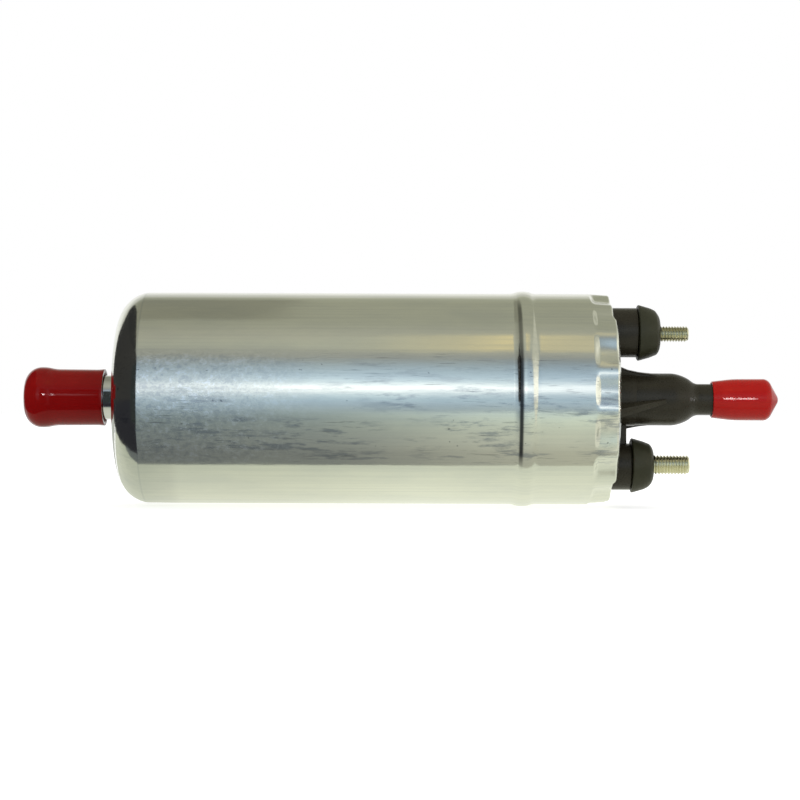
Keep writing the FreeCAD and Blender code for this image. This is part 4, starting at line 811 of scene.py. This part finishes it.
@dataclass
class InletNipple:
    """The inlet tube with its hose bead and the flange inside the can."""

    bottom: float = -53.1
    length: float = 21.0
    radius: float = 5.5
    bore: float = 4.2
    flange: float = 14.5
    flange_start: float = -51.1
    flange_end: float = -49.5
    bead: float = 6.0
    segments: int = 96

    def build(self, wardrobe: Wardrobe) -> None:
        """Turns the tube and puts it in place.

        Args:
            wardrobe: The finishes.
        """
        tip = self.bottom - self.length
        bead = tip + 1.4
        mesh = turned([
            Ring(tip, self.bore, 0.15, 2), Ring(tip, self.radius, 0.35, 3), Ring(bead, self.radius),
            Ring(bead + 0.8, self.bead, 0.4, 3), Ring(bead + 2.4, self.bead, 0.4, 3),
            Ring(bead + 3.2, self.radius, 0.2, 2), Ring(bead + 3.6, self.radius),
            Ring(self.flange_start, self.radius), Ring(self.flange_start, self.flange),
            Ring(self.flange_end, self.flange), Ring(self.flange_end, self.bore),
        ], self.segments, closed=True)
        wardrobe.piece(as_object("inlet_tube", mesh), Body.CASE, "nipple_zinc", "inlet_nipple")


@dataclass
class PushOnCap:
    """A soft push-on cap, turned from its outside and its bore.

    Each wave that makes it uneven has its number of lobes, its twist along the axis and its strength.
    """

    name: str
    node: str
    body: Body
    slot: str
    outside: tuple[Ring, ...]
    inside: tuple[Ring, ...]
    sag: float = 0.003
    waves: tuple[tuple[float, float, float], ...] = ((3.0, 0.35, 0.6), (2.0, -0.8, 0.4))
    segments: int = 128

    def build(self, wardrobe: Wardrobe) -> None:
        """Turns the cap, makes it a little uneven as a dipped cap is, and puts it in place.

        Args:
            wardrobe: The finishes.
        """
        mesh = turned([*self.outside, *self.inside], self.segments)
        for point in mesh.verts:
            angle = math.atan2(point.co.z, point.co.y)
            wave = sum(math.sin(angle * lobes + point.co.x * twist) * strength
                       for lobes, twist, strength in self.waves)
            draw_in(point, 1 - self.sag * (0.5 + 0.5 * wave))
        wardrobe.piece(as_object(self.name, mesh, 50.0), self.body, self.slot, self.node)


def inlet_cap() -> PushOnCap:
    """The inlet's cap: a swollen, rounded head and a plain skirt.

    Returns:
        The cap, ready to build.
    """
    end, mouth, bore = -76.6, -57.0, 6.1
    return PushOnCap("inlet_push_cap", "inlet_cap", Body.INLET_CAP, "inlet_cap_red", (
        Ring(end, 0.0), Ring(end, 7.46, 4.1, 14), Ring(end + 5.4, 7.46, 0.9, 6),
        Ring(end + 7.6, 6.98, 0.9, 6), Ring(mouth - 1.6, 6.9, 0.4, 3), Ring(mouth, 7.0, 0.05, 2),
    ), (Ring(mouth, bore, 0.04, 1), Ring(end + 2.4, bore, 0.4, 2), Ring(end + 2.4, 0.0)))


def outlet_cap() -> PushOnCap:
    """The outlet's cap: a tapered start, a plain body and a blunt cone.

    Returns:
        The cap, ready to build.
    """
    mouth, nose, bore = 93.0, 109.5, 4.1
    return PushOnCap("outlet_push_cap", "outlet_cap", Body.OUTLET_CAP, "outlet_cap_red", (
        Ring(nose, 0.0), Ring(nose, 0.6, 0.4, 4), Ring(nose - 2.6, 5.16, 1.1, 8),
        Ring(mouth + 5.2, 5.12, 1.2, 6), Ring(mouth, 4.5, 0.2, 3),
    ), (Ring(mouth, bore, 0.1, 2), Ring(mouth + 13.4, bore, 0.3, 2), Ring(mouth + 13.4, 0.0)))


@dataclass(frozen=True)
class Tower:
    """One terminal's tower: its side, end, radius, distance from the axis, and the hole for its stud."""

    side: Side
    end: float
    radius: float
    offset: float
    hole: float


@dataclass
class ConnectionCover:
    """The moulded cover: terminal towers, outlet housing with its webs, and the nozzle."""

    start: float = 49.5
    rim: float = 24.85
    cavity: float = 20.6
    floor: float = 57.8
    groove: float = 22.4
    groove_start: float = 53.9
    groove_end: float = 56.5
    shoulder_start: float = 62.3
    shoulder_end: float = 66.8
    shoulder: float = 23.9
    edge: float = 22.5
    edge_start: float = 67.4
    face: float = 68.0
    housing: float = 6.45
    housing_end: float = 85.4
    collar: float = 0.18
    collar_length: float = 5.9
    nozzle: float = 3.85
    nozzle_start: float = 88.9
    nozzle_end: float = 101.3
    barb: float = 4.0
    barb_start: float = 102.2
    barb_end: float = 103.9
    tip: float = 106.3
    tip_radius: float = 3.4
    outlet: float = 2.2
    chamber: float = 3.9
    chamber_end: float = 83.0
    offset: float = 16.2
    spigot_radius: float = 4.9
    spigot_length: float = 3.2
    tower_segments: int = 80
    segments: int = 144
    towers: tuple[Tower, ...] = (
        Tower(Side.UPPER, 74.5, 6.1, 16.5, 1.7), Tower(Side.LOWER, 73.0, 5.75, 16.65, 2.2),
    )
    web_leans: tuple[float, ...] = (20.0, 200.0, 290.0)
    web: tuple[Pair, ...] = (
        (-2.0, 5.0), (-2.0, 9.6), (0.2, 9.6), (2.0, 8.5), (4.2, 7.55), (7.0, 6.95), (13.6, 6.2), (13.6, 5.0),
    )
    low_web: tuple[Pair, ...] = ((-2.0, -11.6), (4.0, -11.6), (4.0, -5.5), (-2.0, -5.5))
    front_web_lean: float = 113.0
    front_web_taper: float = 0.62
    front_web_sweep: float = 2.1

    def build(self, wardrobe: Wardrobe) -> None:
        """Makes the turned body, joins its towers and webs to it, and puts it in place.

        Args:
            wardrobe: The finishes.
        """
        cover = as_object("moulded_cover", turned(self.outline(), self.segments, closed=True))
        tools = [(as_object(f"tool_{i}", mesh), "UNION") for i, mesh in enumerate(self.additions())]
        for tower in self.towers:
            end = tower.end + self.spigot_length + 2.0
            hole = shifted(rod(self.floor - 2.0, end, tower.hole, 32), self.offset * tower.side.value)
            tools.append((as_object(f"hole_{tower.side.name}", hole), "DIFFERENCE"))
        joined(cover, tools, 30.0)
        wardrobe.piece(cover, Body.CASE, "cover_plastic", "connection_cover")

    def outline(self) -> list[Ring]:
        """The section of the turned body.

        Returns:
            The section's corners: the outside from rim to tip, then back along the inside.
        """
        collar_end, collar = self.face + self.collar_length, self.housing + self.collar
        return [
            Ring(self.start, self.cavity), Ring(self.start, self.rim, 0.3, 2),
            Ring(self.groove_start, self.rim), Ring(self.groove_start, self.groove),
            Ring(self.groove_end, self.groove), Ring(self.groove_end, self.rim),
            Ring(self.shoulder_start, self.rim), Ring(self.shoulder_end, self.shoulder),
            Ring(self.edge_start, self.edge), Ring(self.face, self.edge, 0.2, 2),
            Ring(self.face, collar, 1.2, 6), Ring(collar_end, collar, 0.06, 2),
            Ring(collar_end, self.housing), Ring(self.housing_end, self.housing, 2.6, 12),
            Ring(self.nozzle_start, self.nozzle, 0.8, 6), Ring(self.nozzle_end, self.nozzle),
            Ring(self.barb_start, self.barb, 0.2, 2), Ring(self.barb_end, self.barb, 0.2, 2),
            Ring(self.tip, self.tip_radius, 0.15, 2), Ring(self.tip, self.outlet),
            Ring(self.chamber_end, self.outlet), Ring(self.chamber_end, self.chamber),
            Ring(self.floor, self.chamber), Ring(self.floor, self.cavity),
        ]

    def additions(self) -> list[BMesh]:
        """The towers, the four webs round the housing and the low web to the lower tower.

        Returns:
            One mesh for each.
        """
        meshes = []
        for tower in self.towers:
            post = rod(self.floor + 2.0, tower.end, tower.radius, self.tower_segments, 0.35, 3)
            meshes.append(shifted(post, tower.offset * tower.side.value))
            spigot_end = tower.end + self.spigot_length
            spigot = rod(self.floor + 4.0, spigot_end, self.spigot_radius, self.tower_segments, 0.3, 2)
            meshes.append(shifted(spigot, self.offset * tower.side.value))
        for lean in self.web_leans:
            meshes.append(shifted(slab([(self.face + x, z) for x, z in self.web], 1.8, 0.3), lean=lean))
        meshes.append(self.front_web())
        meshes.append(slab([(self.face + x, z) for x, z in self.low_web], 2.6, 0.4))
        return meshes

    def front_web(self) -> BMesh:
        """The web that faces the viewer: stout at its root, and drawn out to a point along the housing.

        Returns:
            The web's mesh.
        """
        root, tip = self.face - 2.0, self.face + 13.2
        mesh = slab([(root, 4.5), (root, 10.6), (self.face + 0.4, 10.6), (tip, 6.35), (tip, 4.5)], 2.8, 0.2)
        for point in mesh.verts:
            share = (point.co.x - root) / (tip - root)
            point.co.y = point.co.y * (1.0 - self.front_web_taper * share) + self.front_web_sweep * share
        return shifted(mesh, lean=self.front_web_lean)


@dataclass
class TerminalBoot:
    """The rubber boot over one tower's spigot."""

    side: Side
    start: float
    length: float
    radius: float
    hole: float
    body: Body
    lift: float
    bore: float = 5.0
    depth: float = 3.3
    offset: float = 16.2
    segments: int = 96

    def build(self, wardrobe: Wardrobe) -> None:
        """Turns the boot and puts it in place.

        Args:
            wardrobe: The finishes.
        """
        end = self.start + self.length
        mesh = turned([
            Ring(self.start, self.bore), Ring(self.start, self.radius - 0.3, 0.08, 2),
            Ring(self.start + 0.22, self.radius, 0.16, 3), Ring(end - 1.9, self.radius - 0.95, 1.0, 6),
            Ring(end, self.radius - 2.1, 1.4, 8), Ring(end, self.hole, 0.25, 2),
            Ring(self.start + self.depth, self.hole), Ring(self.start + self.depth, self.bore),
        ], self.segments, closed=True)
        for point in mesh.verts:
            point.co.z += self.lift * self.side.value * smooth(point.co.yz.length, self.bore, self.bore + 0.8)
        name = self.side.name.lower()
        boot = as_object(f"{name}_rubber_boot", shifted(mesh, self.offset * self.side.value))
        wardrobe.piece(boot, self.body, "boot_rubber", f"{name}_boot")


@dataclass
class TerminalStud:
    """A terminal stud with its rolled thread, thin shank and hexagonal head."""

    side: Side
    front: float
    tip: float
    radius: float
    pitch: float
    floor: float = 57.8
    head: float = 3.8
    head_height: float = 2.5
    offset: float = 16.2
    relief: float = 0.35
    chamfer: float = 0.45
    ridge_height: float = 0.44
    ridge_crest: Pair = (0.44, 0.56)
    ridge_foot: Pair = (0.10, 0.90)
    steps: int = 28

    def build(self, wardrobe: Wardrobe) -> None:
        """Winds the thread, adds the shank and the head, and puts the stud in place.

        Args:
            wardrobe: The finishes.
        """
        name = self.side.name.lower()
        head = self.floor - self.head_height
        mesh = self.thread()
        merge(mesh, rod(self.floor - 0.2, self.front + 0.4, self.radius - self.relief, 32))
        merge(mesh, turned([
            Ring(head, 0.0), Ring(head, self.head, 0.3, 2),
            Ring(self.floor, self.head), Ring(self.floor, 0.0),
        ], 6))
        stud = as_object(f"{name}_threaded_stud", shifted(mesh, self.offset * self.side.value))
        wardrobe.piece(stud, Body.CASE, "stud_zinc", f"{name}_stud")

    def thread(self) -> BMesh:
        """The thread's ridge wound along the stud, cut square at both ends and closed.

        Returns:
            The threaded rod.
        """
        mesh = bmesh.new()
        root, crest = self.radius - self.pitch * self.ridge_height, self.radius
        start = self.front - self.pitch
        turns = math.ceil((self.tip - start) / self.pitch) + 1
        (foot_start, foot_end), (crest_start, crest_end) = self.ridge_foot, self.ridge_crest
        outline = [
            (0.0, root), (foot_start, root), (crest_start, crest),
            (crest_end, crest), (foot_end, root), (1.0, root),
        ]
        points = [mesh.verts.new((start + share * self.pitch, 0.0, radius)) for share, radius in outline]
        lines = [mesh.edges.new(pair) for pair in zip(points, points[1:])]
        bmesh.ops.spin(mesh, geom=points + lines, cent=(0, 0, 0), axis=(1, 0, 0), angle=TURN * turns,
                       steps=self.steps * turns, dvec=(self.pitch / self.steps, 0, 0))
        bmesh.ops.remove_doubles(mesh, verts=mesh.verts[:], dist=WELD * 4)
        for x, way in ((self.front, -1), (self.tip, 1)):
            cut = bmesh.ops.bisect_plane(mesh, geom=[*mesh.verts, *mesh.edges, *mesh.faces], dist=CUT,
                                         plane_co=(x, 0, 0), plane_no=(way, 0, 0), clear_outer=True)
            rim = [item for item in cut["geom_cut"] if isinstance(item, bmesh.types.BMEdge)]
            bmesh.ops.holes_fill(mesh, edges=rim, sides=0)
        bmesh.ops.recalc_face_normals(mesh, faces=mesh.faces[:])
        for point in mesh.verts:
            reach = point.co.yz.length
            limit = self.radius - self.chamfer + (self.tip - point.co.x)
            if reach > limit:
                draw_in(point, limit / reach)
        return mesh


@dataclass(frozen=True)
class CoilSpring:
    """A spring inside the pump, with the ball or brush that shortens it at its near end, copied from the node
    as it stands.
    """

    node: str
    body: Body
    way: Point
    end_turn: float = 0.12

    def build(self, wardrobe: Wardrobe) -> None:
        """Copies the node's coil as a piece of its own, in the finish of its slot, and hides the node.

        Args:
            wardrobe: The finishes.
        """
        mesh = bmesh.new()
        mesh.from_mesh(frame["nodes"][self.node].data)
        bmesh.ops.remove_doubles(mesh, verts=mesh.verts[:], dist=WELD * MM)
        bmesh.ops.scale(mesh, vec=(1 / MM, 1 / MM, 1 / MM), verts=mesh.verts[:])
        thing = as_object(f"{self.node}_coil", mesh)
        way = Vector(self.way)
        slot = wardrobe.slots[self.node]
        wardrobe.dress(thing, slot)
        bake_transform(thing)
        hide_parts(self.node)
        LOG.info("%s: %d faces, in %s", thing.name, len(thing.data.polygons), slot)


@dataclass(frozen=True)
class Fade:
    """A run of colours along one axis, each stop a place in metres and a colour."""

    axis: str
    stops: tuple[tuple[float, float, float, float], ...]


@dataclass(frozen=True)
class Card:
    """A studio card that only metal and glossy skins see: its corners, its glow and a run that tints it."""

    name: str
    corners: tuple[Point, ...]
    glow: Fade
    tint: Optional[Fade] = None


@dataclass(frozen=True)
class Lamp:
    """A soft area lamp: its place, size, target, colour and power."""

    name: str
    place: Point
    size: Pair
    towards: Point
    colour: Colour
    power: float


FLOOR_LEVEL = -0.02672
CARD_LEVEL = -0.0264
CARD_LIFT = 0.0001
OVER_CARDS = CARD_LEVEL + CARD_LIFT
TENT_FRONT = -0.9
TENT_BACK = 1.1
TENT_TOP = 0.85
TENT_SIDE = 1.3
WHOLE_WIDTH = (-TENT_SIDE, TENT_SIDE)


def plain(*colour: float) -> Fade:
    """The same colour all over a card."""
    return Fade("Z", ((0.0, *colour), (1.0, *colour)))


def upright(start: Pair, end: Pair, low: float = CARD_LEVEL, high: float = TENT_TOP) -> tuple[Point, ...]:
    """The corners of an upright card between two places on the floor."""
    return (*start, low), (*end, low), (*end, high), (*start, high)


def flat(level: float, *places: Pair) -> tuple[Point, ...]:
    """The corners of a level card with any outline."""
    return tuple((x, y, level) for x, y in places)


def level_card(x: Pair, y: Pair, level: float = CARD_LEVEL) -> tuple[Point, ...]:
    """The corners of a level card with square corners."""
    return flat(level, (x[0], y[0]), (x[1], y[0]), (x[1], y[1]), (x[0], y[1]))


CARDS = (
    Card("front_card", upright((-TENT_SIDE, TENT_FRONT), (TENT_SIDE, TENT_FRONT)), Fade("Z", (
        (-0.026, 0.52, 0.68, 0.80), (0.03, 0.68, 0.84, 0.96), (0.075, 0.86, 1.00, 1.10),
        (0.12, 1.27, 1.38, 1.44), (0.165, 1.88, 1.93, 1.95), (0.21, 1.38, 1.48, 1.54),
        (0.28, 0.90, 1.07, 1.19), (0.385, 0.64, 0.80, 0.94), (0.51, 0.53, 0.66, 0.76),
        (0.64, 0.46, 0.55, 0.61), (0.76, 0.41, 0.46, 0.47), (0.85, 0.39, 0.42, 0.41),
    )), Fade("X", (
        (-0.42, 0.60, 0.61, 0.64), (-0.154, 0.73, 0.73, 0.75), (-0.108, 0.76, 0.77, 0.80),
        (-0.075, 0.80, 0.81, 0.83), (-0.045, 0.98, 0.98, 0.98), (0.0, 1.0, 1.0, 1.0),
        (0.03, 0.92, 0.93, 0.94), (0.06, 0.86, 0.87, 0.88), (0.125, 0.76, 0.78, 0.82),
    ))),
    Card("ceiling_card", level_card(WHOLE_WIDTH, (TENT_FRONT, TENT_BACK), TENT_TOP), Fade("Y", (
        (-0.90, 0.36, 0.37, 0.35), (-0.70, 0.42, 0.43, 0.38), (-0.50, 0.50, 0.51, 0.42),
        (-0.33, 0.47, 0.47, 0.39), (-0.02, 0.385, 0.39, 0.31), (0.65, 0.37, 0.375, 0.29),
        (0.95, 0.42, 0.43, 0.34), (1.10, 0.60, 0.60, 0.50),
    )), Fade("X", ((-0.30, 0.80, 0.80, 0.80), (-0.08, 0.95, 0.95, 0.95), (-0.04, 1.0, 1.0, 1.0)))),
    Card("warm_card", level_card((-0.02, 0.26), (-0.66, -0.27), TENT_TOP - 0.03), Fade("X", (
        (-0.02, 0.50, 0.51, 0.42), (0.03, 0.55, 0.53, 0.40), (0.070, 0.62, 0.57, 0.39),
        (0.084, 0.64, 0.58, 0.39), (0.086, 1.10, 0.90, 0.43), (0.094, 1.10, 0.90, 0.43),
        (0.098, 0.62, 0.57, 0.39), (0.26, 0.60, 0.56, 0.40),
    ))),
    Card("far_floor_card", level_card(WHOLE_WIDTH, (TENT_FRONT, -0.116)), Fade("Y", (
        (-0.90, 0.52, 0.68, 0.80), (-0.40, 0.49, 0.62, 0.74), (-0.20, 0.45, 0.56, 0.65),
        (-0.116, 0.41, 0.49, 0.52),
    )), Fade("X", (
        (-0.42, 0.60, 0.62, 0.65), (-0.150, 0.72, 0.74, 0.77), (-0.06, 0.90, 0.92, 0.95),
        (0.04, 1.0, 1.0, 1.0),
    ))),
    Card("near_floor_card", level_card(WHOLE_WIDTH, (-0.116, -0.0230)), Fade("Y", (
        (-0.116, 0.41, 0.49, 0.52), (-0.083, 0.37, 0.43, 0.43), (-0.060, 0.35, 0.39, 0.37),
        (-0.038, 0.31, 0.33, 0.31), (-0.030, 0.26, 0.27, 0.25), (-0.0230, 0.25, 0.26, 0.24),
    )), Fade("X", (
        (-0.07, 0.56, 0.60, 0.66), (-0.035, 0.68, 0.71, 0.75), (-0.012, 0.84, 0.86, 0.87),
        (0.000, 0.97, 0.98, 0.97), (0.020, 1.34, 1.32, 1.24), (0.037, 1.72, 1.67, 1.52),
        (0.060, 1.95, 1.88, 1.66),
    ))),
    Card("under_card", level_card((-0.30, 0.30), (-0.0230, 0.03)), Fade("Y", (
        (-0.0230, 0.70, 0.73, 0.62), (-0.012, 0.86, 0.88, 0.76), (0.0, 0.95, 0.97, 0.85),
    )), Fade("X", (
        (-0.046, 0.72, 0.73, 0.71), (-0.040, 0.80, 0.80, 0.78), (-0.0375, 0.89, 0.89, 0.86),
        (-0.015, 0.91, 0.91, 0.88), (0.0, 0.96, 0.96, 0.93), (0.02, 1.04, 1.04, 1.01),
        (0.04, 1.02, 1.02, 0.99),
    ))),
    Card("nipple_screen", upright((-0.0580, -0.060), (-0.0800, -0.060), high=0.036),
         plain(0.03, 0.035, 0.035)),
    Card("dark_wall", upright((-0.44, TENT_FRONT + 0.02), (-0.80, -0.20)), plain(0.038, 0.037, 0.036)),
    Card("dark_ceiling", flat(
        TENT_TOP - 0.02, (-0.60, TENT_FRONT), (-0.48, -0.45), (-0.44, 0.0), (-0.45, 0.40), (-0.62, 1.05),
        (-TENT_SIDE, 1.05), (-TENT_SIDE, TENT_FRONT),
    ), plain(0.030, 0.030, 0.030)),
    Card("dim_ceiling", level_card((-0.44, -0.06), (0.05, 0.80), TENT_TOP - 0.01), plain(0.27, 0.27, 0.21)),
    Card("dark_back_wall", upright((-0.80, -0.20), (-0.80, 0.74)), plain(0.038, 0.037, 0.036)),
    Card("dark_floor", flat(
        OVER_CARDS, (-0.0493, -0.0287), (-0.0665, -0.0257), (-0.1024, -0.0027), (-0.170, 0.062),
        (-0.79, 0.60), (-0.82, -0.20), (-0.44, TENT_FRONT + 0.02),
    ), plain(0.026, 0.026, 0.032)),
    Card("right_card", upright((0.54, TENT_FRONT + 0.02), (0.95, -0.55)), Fade("Z", (
        (-0.026, 1.00, 0.99, 0.86), (0.03, 1.30, 1.29, 1.18), (0.30, 1.30, 1.28, 1.16),
        (0.50, 0.95, 0.94, 0.80), (0.85, 0.60, 0.60, 0.50),
    ))),
    Card("right_ceiling", level_card((0.46, TENT_SIDE), (TENT_FRONT, 0.70), TENT_TOP - 0.02),
         plain(0.58, 0.58, 0.48)),
    Card("right_side_card", upright((0.95, -0.55), (1.05, 0.80)), Fade("Z", (
        (-0.026, 0.80, 0.79, 0.67), (0.03, 1.20, 1.19, 1.06), (0.30, 1.20, 1.18, 1.04),
        (0.50, 0.80, 0.79, 0.67), (0.85, 0.58, 0.58, 0.48),
    ))),
    Card("right_floor", flat(
        OVER_CARDS, (0.0665, -0.030), (0.54, TENT_FRONT + 0.02), (0.95, -0.55), (0.95, -0.03),
    ), plain(0.82, 0.82, 0.68)),
    Card("outlet_cap_glint", upright((0.0947, -0.0077), (0.1044, -0.0077), 0.0001, 0.0009), Fade("X", (
        (0.0947, 16.0, 16.0, 16.0), (0.0957, 34.0, 34.0, 34.0), (0.0978, 34.0, 34.0, 34.0),
        (0.0986, 8.0, 8.0, 8.0), (0.0996, 28.0, 28.0, 28.0), (0.1028, 28.0, 28.0, 28.0),
        (0.1044, 5.0, 5.0, 5.0),
    ))),
    Card("inlet_cap_glint", upright((-0.0715, -0.0105), (-0.0590, -0.0105), 0.00095, 0.00170), Fade("X", (
        (-0.0715, 46.0, 46.0, 48.0), (-0.0707, 46.0, 46.0, 48.0), (-0.0705, 1.4, 1.4, 1.5),
        (-0.0689, 1.4, 1.4, 1.5), (-0.0688, 46.0, 46.0, 48.0), (-0.0687, 1.6, 1.6, 1.7),
        (-0.0640, 1.8, 1.8, 1.9), (-0.0590, 0.6, 0.6, 0.6),
    ))),
    Card("outlet_glint_shade", upright((0.0944, -0.0068), (0.0944, -0.0078), -0.0006, 0.0016),
         plain(0.02, 0.02, 0.02)),
    Card("inlet_glint_shade", upright((-0.0592, -0.0107), (-0.0592, -0.0195), -0.0004, 0.0036),
         plain(0.16, 0.004, 0.004)),
    Card("back_card", upright((-TENT_SIDE, TENT_BACK), (TENT_SIDE, TENT_BACK)), Fade("Z", (
        (-0.026, 0.85, 0.87, 0.85), (0.15, 1.0, 1.0, 0.98), (0.45, 0.95, 0.95, 0.90),
        (0.75, 0.62, 0.62, 0.56),
    ))),
    Card("back_floor_card", level_card(WHOLE_WIDTH, (0.06, TENT_BACK)), Fade("Y", (
        (0.06, 0.50, 0.51, 0.47), (0.25, 0.62, 0.64, 0.62), (0.9, 0.85, 0.87, 0.85),
    ))),
)


@dataclass
class Studio:
    """The pale floor, the cards and lamps round the pump, the white surroundings and the camera."""

    floor_size: float = 6.0
    floor_albedo: float = 0.9
    floor_glow: float = 0.55
    ambient: float = 0.72
    lens: float = 95.6
    camera: Point = (0.016, -0.526, -0.00037)
    roll: float = -0.21
    cards: tuple[Card, ...] = CARDS
    lamps: tuple[Lamp, ...] = (
        Lamp("front_softbox", (0.0, -0.86, 0.30), (0.60, 0.30), (0.01, 0.0, 0.0), (0.88, 0.96, 1.0), 1.2),
        Lamp("top_softbox", (0.1, 0.1, 1.1), (1.0, 1.0), (0.0, 0.0, 0.0), (1.0, 1.0, 0.96), 1.6),
    )

    def build(self) -> None:
        """Sets up everything round the object."""
        self.aim_camera()
        self.lay_floor()
        self.light_world()
        for card in self.cards:
            self.hang(card)
        for lamp in self.lamps:
            self.light(lamp)
        bpy.context.scene.view_settings.view_transform = "Standard"

    def aim_camera(self) -> None:
        """The camera stands level at the photograph's distance and looks along +Y."""
        data = bpy.data.cameras.new("camera")
        data.lens = self.lens
        data.clip_start = 0.02
        camera = bpy.data.objects.new("camera", data)
        camera.location = self.camera
        camera.rotation_euler = (math.pi / 2, math.radians(self.roll), 0.0)
        bpy.context.scene.collection.objects.link(camera)
        bpy.context.scene.camera = camera

    def lay_floor(self) -> None:
        """A pale floor that shows white to the camera and to metal, and keeps the object's shadow."""
        mesh = bmesh.new()
        bmesh.ops.create_grid(mesh, x_segments=1, y_segments=1, size=self.floor_size / 2)
        bmesh.ops.translate(mesh, verts=mesh.verts[:], vec=(0, 0, FLOOR_LEVEL))
        floor = placed("floor", mesh)
        tree = bare_tree(floor)
        matt = node(tree, "BsdfDiffuse", {"Color": (self.floor_albedo,) * 3})
        glow = node(tree, "Emission", {"Strength": seen_rays(tree, self.floor_glow)})
        both = node(tree, "AddShader", {0: matt.outputs[0], 1: glow.outputs[0]})
        node(tree, "OutputMaterial", {"Surface": both.outputs[0]})

    def light_world(self) -> None:
        """An even surround: white where it is seen or mirrored, and a plain level where it lights."""
        world = bpy.data.worlds.new("surround")
        bpy.context.scene.world = world
        world.use_nodes = True
        tree = world.node_tree
        back = tree.nodes["Background"]
        level = {0: seen_rays(tree, 1.0), 1: 1.0 - self.ambient, 2: self.ambient}
        give(tree, back.inputs["Color"], (1.0, 1.0, 1.0))
        give(tree, back.inputs["Strength"], node(tree, "Math", level, operation="MULTIPLY_ADD").outputs[0])

    def hang(self, card: Card) -> None:
        """Hangs a card with its own glow, which neither the camera nor plain surfaces see.

        Args:
            card: The card.
        """
        mesh = bmesh.new()
        mesh.faces.new([mesh.verts.new(corner) for corner in card.corners])
        thing = placed(card.name, mesh)
        tree = bare_tree(thing)
        colour = faded(tree, card.glow)
        if card.tint is not None:
            colours = {0: colour, 1: faded(tree, card.tint)}
            colour = node(tree, "VectorMath", colours, operation="MULTIPLY").outputs[0]
        glow = node(tree, "Emission", {"Color": colour})
        node(tree, "OutputMaterial", {"Surface": glow.outputs[0]})
        thing.visible_camera = False
        thing.visible_diffuse = False
        thing.visible_shadow = False

    def light(self, lamp: Lamp) -> None:
        """Aims a soft area lamp that no skin mirrors.

        Args:
            lamp: The lamp.
        """
        data = bpy.data.lights.new(lamp.name, "AREA")
        data.shape = "RECTANGLE"
        data.size, data.size_y = lamp.size
        data.color = lamp.colour
        data.energy = lamp.power
        thing = bpy.data.objects.new(lamp.name, data)
        thing.location = lamp.place
        aim = Vector(lamp.towards) - Vector(lamp.place)
        thing.rotation_euler = aim.to_track_quat("-Z", "Y").to_euler()
        thing.visible_glossy = False
        bpy.context.scene.collection.objects.link(thing)


def bare_tree(thing: Thing) -> Tree:
    """Gives a piece of the studio its own material, with nothing in it yet.

    Args:
        thing: The piece.

    Returns:
        The material's empty node tree.
    """
    material = bpy.data.materials.new(thing.name)
    material.use_nodes = True
    material.node_tree.nodes.clear()
    thing.data.materials.append(material)
    return material.node_tree


def faded(tree: Tree, fade: Fade) -> Socket:
    """The colours of a fade, read from the card's own coordinates.

    Args:
        tree: The card's node tree.
        fade: The run of colours.

    Returns:
        The colour at each place.
    """
    place = node(tree, "TexCoord", {}).outputs["Object"]
    split = node(tree, "SeparateXYZ", {"Vector": place})
    low, high = fade.stops[0][0], fade.stops[-1][0]
    span = node(tree, "MapRange", {"Value": split.outputs[fade.axis], "From Min": low, "From Max": high})
    ramp = node(tree, "ValToRGB", {"Fac": span.outputs["Result"]})
    marks = ramp.color_ramp.elements
    while len(marks) < len(fade.stops):
        marks.new(0.5)
    for mark, stop in zip(marks, fade.stops):
        mark.position = (stop[0] - low) / (high - low)
    for mark, stop in zip(marks, fade.stops):
        mark.color = (*stop[1:], 1.0)
    return ramp.outputs["Color"]


def seen_rays(tree: Tree, strength: float) -> Socket:
    """A strength for what the camera, glossy skins and clear pieces see.

    Args:
        tree: The node tree that needs it.
        strength: The strength for those rays.

    Returns:
        The strength for them, and 0 for all other rays.
    """
    path = node(tree, "LightPath", {})
    seen = path.outputs["Is Camera Ray"]
    for ray in ("Is Glossy Ray", "Is Transmission Ray"):
        seen = node(tree, "Math", {0: seen, 1: path.outputs[ray]}, operation="MAXIMUM").outputs[0]
    return node(tree, "Math", {0: seen, 1: strength}, operation="MULTIPLY").outputs[0]


def main() -> None:
    """Builds the studio, dresses the CAD nodes and makes each new piece in order."""
    logging.basicConfig(level=logging.INFO, format="%(name)s %(message)s")
    Studio().build()
    wardrobe = Wardrobe()
    wardrobe.dress_nodes()
    assemblies = [
        Can(),
        InletNipple(),
        ConnectionCover(),
        TerminalBoot(Side.UPPER, 74.6, 5.5, 6.92, 2.12, Body.UPPER_BOOT, 0.25),
        TerminalBoot(Side.LOWER, 73.1, 5.5, 6.75, 2.62, Body.LOWER_BOOT, 0.15),
        TerminalStud(Side.UPPER, 80.1, 87.2, 1.92, 0.7),
        TerminalStud(Side.LOWER, 78.6, 87.5, 2.4, 0.8),
        inlet_cap(),
        outlet_cap(),
        CoilSpring("valve_spring", Body.OUTLET_VALVE, (1.0, 0.0, 0.0)),
        CoilSpring("relief_spring", Body.RELIEF_VALVE, (-1.0, 0.0, 0.0)),
        CoilSpring("upper_brush_spring", Body.UPPER_BRUSH, (0.0, 0.0, 1.0)),
        CoilSpring("lower_brush_spring", Body.LOWER_BRUSH, (0.0, 0.0, -1.0)),
    ]
    for assembly in assemblies:
        assembly.build(wardrobe)


if __name__ == "__main__":
    main()
